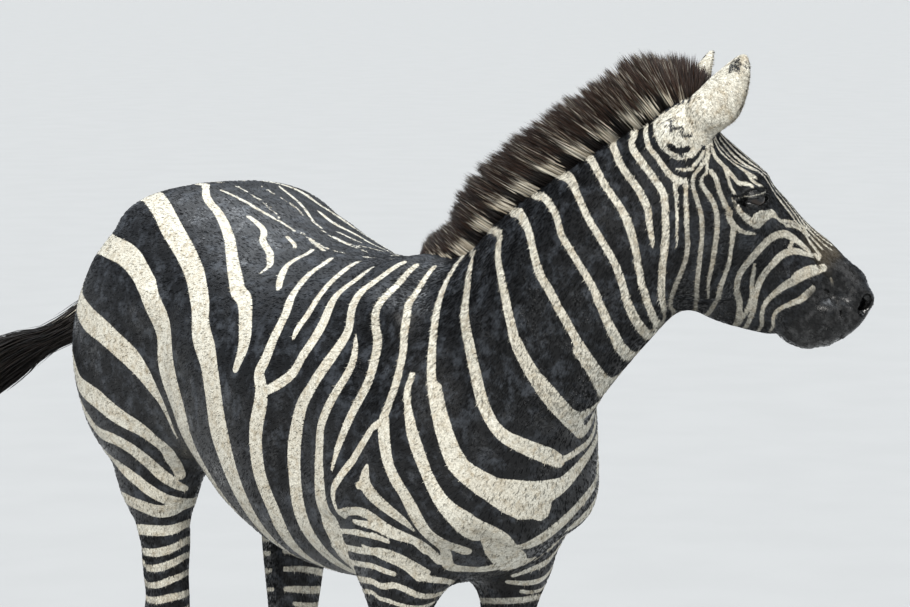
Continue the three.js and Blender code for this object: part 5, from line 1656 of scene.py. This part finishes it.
class Zebra_OT_mane(bpy.types.Operator):
    """The upright mane, in jagged clumps of stiff hair"""

    bl_idname = "zebra.mane"
    bl_label = "Mane"

    def execute(self, context):
        rng = np.random.default_rng(11)
        count = settings().mane_blades
        for half, name in ((-1, "mane_right"), (1, "mane_left")):
            n = count // 2
            share = 0.1 + 0.9 * rng.random(n)
            root, up, ahead, side, height = mane_shape(share)
            across = half * rng.random(n)
            clump = np.floor(share * MANE_CLUMPS + rng.normal(0, 0.3, n)).astype(int)
            own = np.random.default_rng(5).random((128, 3))[clump % 128]
            along = (share - (clump + 0.5) / MANE_CLUMPS) * MANE_LENGTH
            over_poll = smoothstep(share, 0.62, 0.95)
            lean = -0.40 + 0.66 * smoothstep(share, 0.5, 0.8) + 0.10 * (own[:, 1] - 0.5)
            tall = (height + 6) * (0.92 + 0.10 * own[:, 0]) * rng.uniform(0.80, 1.06, n)
            tall = tall * np.sqrt(1 + lean**2) * (1 - 0.42 * np.abs(across) ** 3)
            aside = across * (24 + 10 * rng.random(n) + 8 * over_poll)
            base = root + side * aside[:, None] - up * (9 + aside**2 / 84)[:, None]
            way = up + ahead * lean[:, None] + side * (0.30 * across**3 + 0.05 * (own[:, 2] - 0.5))[:, None]
            steps = np.array((0.0, 0.4, 0.75, 1.0))
            k = steps[None, :, None]
            pull = -ahead * (along * 0.3)[:, None] - side * (aside * 0.35)[:, None]
            reach = (tall + 12)[:, None, None] / np.linalg.norm(way, axis=-1)[:, None, None]
            jitter = rng.normal(0, 2.2, (n, 1, 3)) * k
            path = base[:, None] + way[:, None] * reach * k + pull[:, None] * k**2 + jitter
            wide = np.array((2.5, 2.2, 1.4)) * rng.uniform(0.8, 1.2, (n, 1))
            turn = unit(ahead + side * rng.normal(0, 0.6, (n, 1)))
            ridge = np.cross(turn, unit(way))
            points, tris, mine = strands(path, turn[:, None], ridge[:, None], wide, wide * 0.45)
            step = np.concatenate((np.repeat(steps[:-1], 3), steps[-1:]))
            up_share = np.tile(step, n)
            bands = np.array(MANE_BANDS)
            off = np.abs(share[mine, None] / MANE_ON_NECK - bands[None, :, 0]) * NECK_LENGTH
            depth = (bands[None, :, 1] - off).max(1) + 6 * smoothstep(up_share, 0, 0.35)
            depth = depth + rng.normal(0, 1, n)[mine] * (1.2 + 9 * up_share)
            tip = np.clip((up_share - 0.30) / 0.38, 0, 1) * rng.uniform(0.6, 1.3, n)[mine]
            uv = patch_uv(np.stack((share * 0.9 + 0.05, 0.75 + 0.1 * across), -1), n, len(step))
            attributes = {"stripe": depth, "tip": tip, "shade": rng.random(n)[mine]}
            mesh_object(name, points, tris, materials()["mane"], ["mane"], attributes, uv)
        return {"FINISHED"}


class Zebra_OT_tail(bpy.types.Operator):
    """The tuft of long hair on the tail"""

    bl_idname = "zebra.tail"
    bl_label = "Tail tuft"

    def execute(self, context):
        rng = np.random.default_rng(23)
        n = settings().tail_blades
        start = 0.16 + 0.68 * rng.random(n) ** 0.9
        angle, depth = rng.uniform(0, 2 * np.pi, n), np.sqrt(rng.random(n))
        length = rng.uniform(0.16, 0.34, n)
        k = np.linspace(0, 1, 6)
        share = np.minimum(start[:, None] + length[:, None] * k, 0.995)
        centre, ahead, side, up = TAIL_LIMB.frame(share)
        section = TAIL_LIMB.section(share)
        stout = 1 + 0.9 * smoothstep(-share, -0.55, -0.35) * smoothstep(share, 0.1, 0.25)
        section = section * stout[..., None]
        full = np.where(np.sin(angle)[:, None] > 0, section[..., 3], section[..., 4])
        grow = (0.35 + 0.6 * smoothstep(k, 0, 0.5)[None]) * depth[:, None]
        out = (side * (np.cos(angle)[:, None] * section[..., 2] * grow)[..., None]
               + up * (np.sin(angle)[:, None] * full * grow)[..., None])
        wave = 4 * np.sin(k[None] * 5 + rng.uniform(0, 6, (n, 1)))[..., None] * side
        path = centre + out + wave * k[None, :, None] + rng.normal(0, 3, (n, 1, 3)) * k[None, :, None]
        wide = np.stack([np.full(n, w) for w in (2.6, 3.4, 3.4, 3.0, 2.2)], -1)
        turn = unit(np.cross(ahead, out))[:, :-1]
        ridge = unit(np.cross(turn, ahead[:, :-1]))
        points, tris, mine = strands(path, turn, ridge, wide, wide * 0.4)
        pale = (0.30 - share[:, 0]) * 160 - 8 + rng.normal(0, 8, n)
        step = np.concatenate((np.repeat(k[:-1], 3), k[-1:]))
        attributes = {"stripe": pale[mine] - 18 * np.tile(step, n), "tip": np.zeros(len(mine)),
                      "shade": rng.random(n)[mine]}
        uv = patch_uv(np.stack((0.05 + 0.9 * start, 0.9 + 0.02 * np.cos(angle)), -1), n, len(step))
        mesh_object("tail_hair", points, tris, materials()["mane"], ["tail_tuft"], attributes,
                    uv)
        return {"FINISHED"}


def vertices_of(mesh):
    """A mesh's vertices in body millimetres."""
    places = np.empty(len(mesh.vertices) * 3, np.float32)
    mesh.vertices.foreach_get("co", places)
    return (places.reshape(-1, 3).astype(float) - SHIFT) * MM


def sampled(mesh, density, count, rng):
    """Random places on a mesh, as thick as density says, with their normals, in body millimetres."""
    mesh.calc_loop_triangles()
    corners = np.empty(len(mesh.loop_triangles) * 3, np.int32)
    mesh.loop_triangles.foreach_get("vertices", corners)
    corners = corners.reshape(-1, 3)
    places = vertices_of(mesh)
    normals = normals_of(places, corners)
    a, b, c = (places[corners[:, k]] for k in range(3))
    weight = np.linalg.norm(np.cross(b - a, c - a), axis=-1) * density((a + b + c) / 3)
    pick = np.searchsorted(np.cumsum(weight), rng.random(count) * weight.sum())
    u, v = rng.random((2, count, 1))
    over = (u + v) > 1
    u, v = np.where(over, 1 - u, u), np.where(over, 1 - v, v)
    place, normal = (s[corners[pick, 0]] * (1 - u - v) + s[corners[pick, 1]] * u + s[corners[pick, 2]] * v
                     for s in (places, normals))
    return place, unit(normal)


def tufts_on_head(p):
    """How thick the tufts stand on the head: thin on the muzzle."""
    q = in_head(p)
    return near_head(p) * (1 - 0.85 * smoothstep(q[:, 0] + 0.1 * q[:, 2], 355, 385))


def tufts_on_neck(p):
    """The same on the neck."""
    return ((p[:, 1] < -330) & (p[:, 2] > 1000) & ~near_head(p)).astype(float)


def tufts_on_legs(p):
    """The same on the legs, down to the coronets."""
    return ((p[:, 2] < 640) & (p[:, 2] > 66)).astype(float)


def tufts_on_trunk(p):
    """The same on all the rest."""
    return ((near_head(p) + tufts_on_neck(p) + tufts_on_legs(p)) == 0).astype(float)


class Zebra_OT_coat(bpy.types.Operator):
    """Short hair as thin overlapping tufts on the trunk, neck, legs and head"""

    bl_idname = "zebra.coat"
    bl_label = "Coat"

    def execute(self, context):
        rng = np.random.default_rng(3)
        skin = bpy.data.objects["skin"].data
        strokes = built["strokes"]
        base = settings().tufts
        plan = (
            ("coat_trunk", tufts_on_trunk, base, 7.5, 1.8),
            ("coat_neck", tufts_on_neck, int(base * 0.6), 7.5, 1.8),
            ("coat_legs", tufts_on_legs, int(base * 0.8), 6.5, 1.6),
            ("coat_head", tufts_on_head, int(base * 0.95), 4.5, 1.2),
        )
        for name, where, count, length, width in plan:
            root, normal = sampled(skin, where, count, rng)
            way = flow(root, normal)
            side = np.cross(normal, way)
            way = unit(way + side * rng.normal(0, 0.16, (count, 1)))
            side = np.cross(normal, way)
            long = length * rng.uniform(0.7, 1.25, (count, 1))
            wide = width * rng.uniform(0.75, 1.25, (count, 1))
            lift = 0.10 + 0.07 * rng.random((count, 1))
            start = root - normal * 0.8 - way * long * 0.2
            path = np.stack((start, root + way * long * 0.8 + normal * long * lift), 1)
            points, tris, mine = strands(path, side[:, None], normal[:, None], wide, wide * 0.42 + 0.9)
            values = marks(root, strokes)
            values["stripe"] = values["stripe"] + rng.normal(0, 0.9, count)
            values["lay"] = normal
            values["shade"] = rng.random(count)
            attributes = {k: v[mine] for k, v in values.items()}
            uv = patch_uv(unwrapped(root), count, 4)
            mesh_object(name, points, tris, materials()["tuft"], (), attributes, uv)
        return {"FINISHED"}


FLOOR_REACH = 600.0
# Each lamp: name, the way to it, its power, how many degrees wide it is and its tint.
LAMPS = (
    ("top", (0.5, 0.8, 4.0), 3.6, 70, (0.90, 0.95, 1.0)),
    ("key", (-3.4, -2.6, 3.4), 3.0, 15, (1.0, 0.97, 0.92)),
    ("fill", (2.6, -4.2, 2.0), 0.5, 50, (1.0, 0.98, 0.95)),
)
# The camera stands so many degrees round from ahead and above level, and looks a little right of and above
# the trunk's middle.
CAMERA = {
    "yaw": 57.2, "rise": 8.5, "distance": 6.19, "lens": 130.7, "sensor": 36.0,
    "right": 0.03027, "above": 0.03677,
}


class Zebra_OT_stage(bpy.types.Operator):
    """Pale floor, soft studio light and the camera"""

    bl_idname = "zebra.stage"
    bl_label = "Stage"

    def execute(self, context):
        scene = context.scene
        mesh = bpy.data.meshes.new("floor")
        corners = [(x * FLOOR_REACH, y * FLOOR_REACH, 0) for x, y in ((-1, -1), (1, -1), (1, 1), (-1, 1))]
        mesh.from_pydata(corners, [], [(0, 1, 2, 3)])
        floor = bpy.data.objects.new("floor", mesh)
        context.collection.objects.link(floor)
        material, n, shader = new_material("floor_paint")
        tone = settings().floor
        shade = n.mix(n.ramp(n.noise(3, 3.0), 0.3, 0.7), (*tone, 1), (*(c * 0.97 for c in tone), 1))
        n.link(shade, shader.inputs["Base Color"])
        shader.inputs["Roughness"].default_value = 0.9
        mesh.materials.append(material)
        world = bpy.data.worlds.new("studio")
        world.use_nodes = True
        sky = world.node_tree.nodes["Background"].inputs
        sky["Color"].default_value = (0.82, 0.90, 1.0, 1)
        sky["Strength"].default_value = 0.34
        scene.world = world
        middle = Vector(to_frame((0, 0, 900)))
        for name, place, power, wide, tint in LAMPS:
            lamp = bpy.data.lights.new(name, "SUN")
            lamp.energy, lamp.angle, lamp.color = power, math.radians(wide), tint
            holder = bpy.data.objects.new(name, lamp)
            holder.location = middle + Vector(place)
            holder.rotation_euler = (-Vector(place)).to_track_quat("-Z", "Y").to_euler()
            context.collection.objects.link(holder)
        yaw, rise = math.radians(CAMERA["yaw"]), math.radians(CAMERA["rise"])
        toward = Vector((-math.cos(yaw) * math.cos(rise), -math.sin(yaw) * math.cos(rise), math.sin(rise)))
        right = Vector((math.sin(yaw), -math.cos(yaw), 0))
        above = toward.cross(right)
        lens = bpy.data.cameras.new("camera")
        lens.lens, lens.sensor_width = CAMERA["lens"], CAMERA["sensor"]
        camera = bpy.data.objects.new("camera", lens)
        camera.location = middle + toward * CAMERA["distance"]
        look = (-toward + CAMERA["right"] * right + CAMERA["above"] * above).normalized()
        right = look.cross(above).normalized()
        above = right.cross(look)
        turn = Matrix((right, above, -look)).transposed()
        camera.rotation_euler = turn.to_euler()
        context.collection.objects.link(camera)
        scene.camera = camera
        scene.view_settings.view_transform = "Standard"
        return {"FINISHED"}


class Zebra_PT_panel(bpy.types.Panel):
    """Lists the zebra's pieces and sizes"""

    bl_label = "Zebra"
    bl_idname = "ZEBRA_PT_panel"
    bl_space_type = "VIEW_3D"
    bl_region_type = "UI"
    bl_category = "Zebra"

    def draw(self, context):
        for key in ZebraSettings.__annotations__:
            self.layout.prop(context.scene.zebra, key)
        for step in STEPS:
            self.layout.operator(step.bl_idname)


STEPS = (
    Zebra_OT_skin, Zebra_OT_eyes, Zebra_OT_hooves, Zebra_OT_mane, Zebra_OT_tail, Zebra_OT_coat,
    Zebra_OT_stage,
)
CLASSES = (ZebraSettings, *STEPS, Zebra_PT_panel)


def register():
    for c in CLASSES:
        bpy.utils.register_class(c)
    bpy.types.Scene.zebra = PointerProperty(type=ZebraSettings)


def unregister():
    del bpy.types.Scene.zebra
    for c in reversed(CLASSES):
        bpy.utils.unregister_class(c)


def main():
    """Registers the add-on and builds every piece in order."""
    register()
    bpy.ops.zebra.skin()
    bpy.ops.zebra.eyes()
    bpy.ops.zebra.hooves()
    bpy.ops.zebra.mane()
    bpy.ops.zebra.tail()
    bpy.ops.zebra.coat()
    bpy.ops.zebra.stage()


if __name__ == "__main__":
    main()
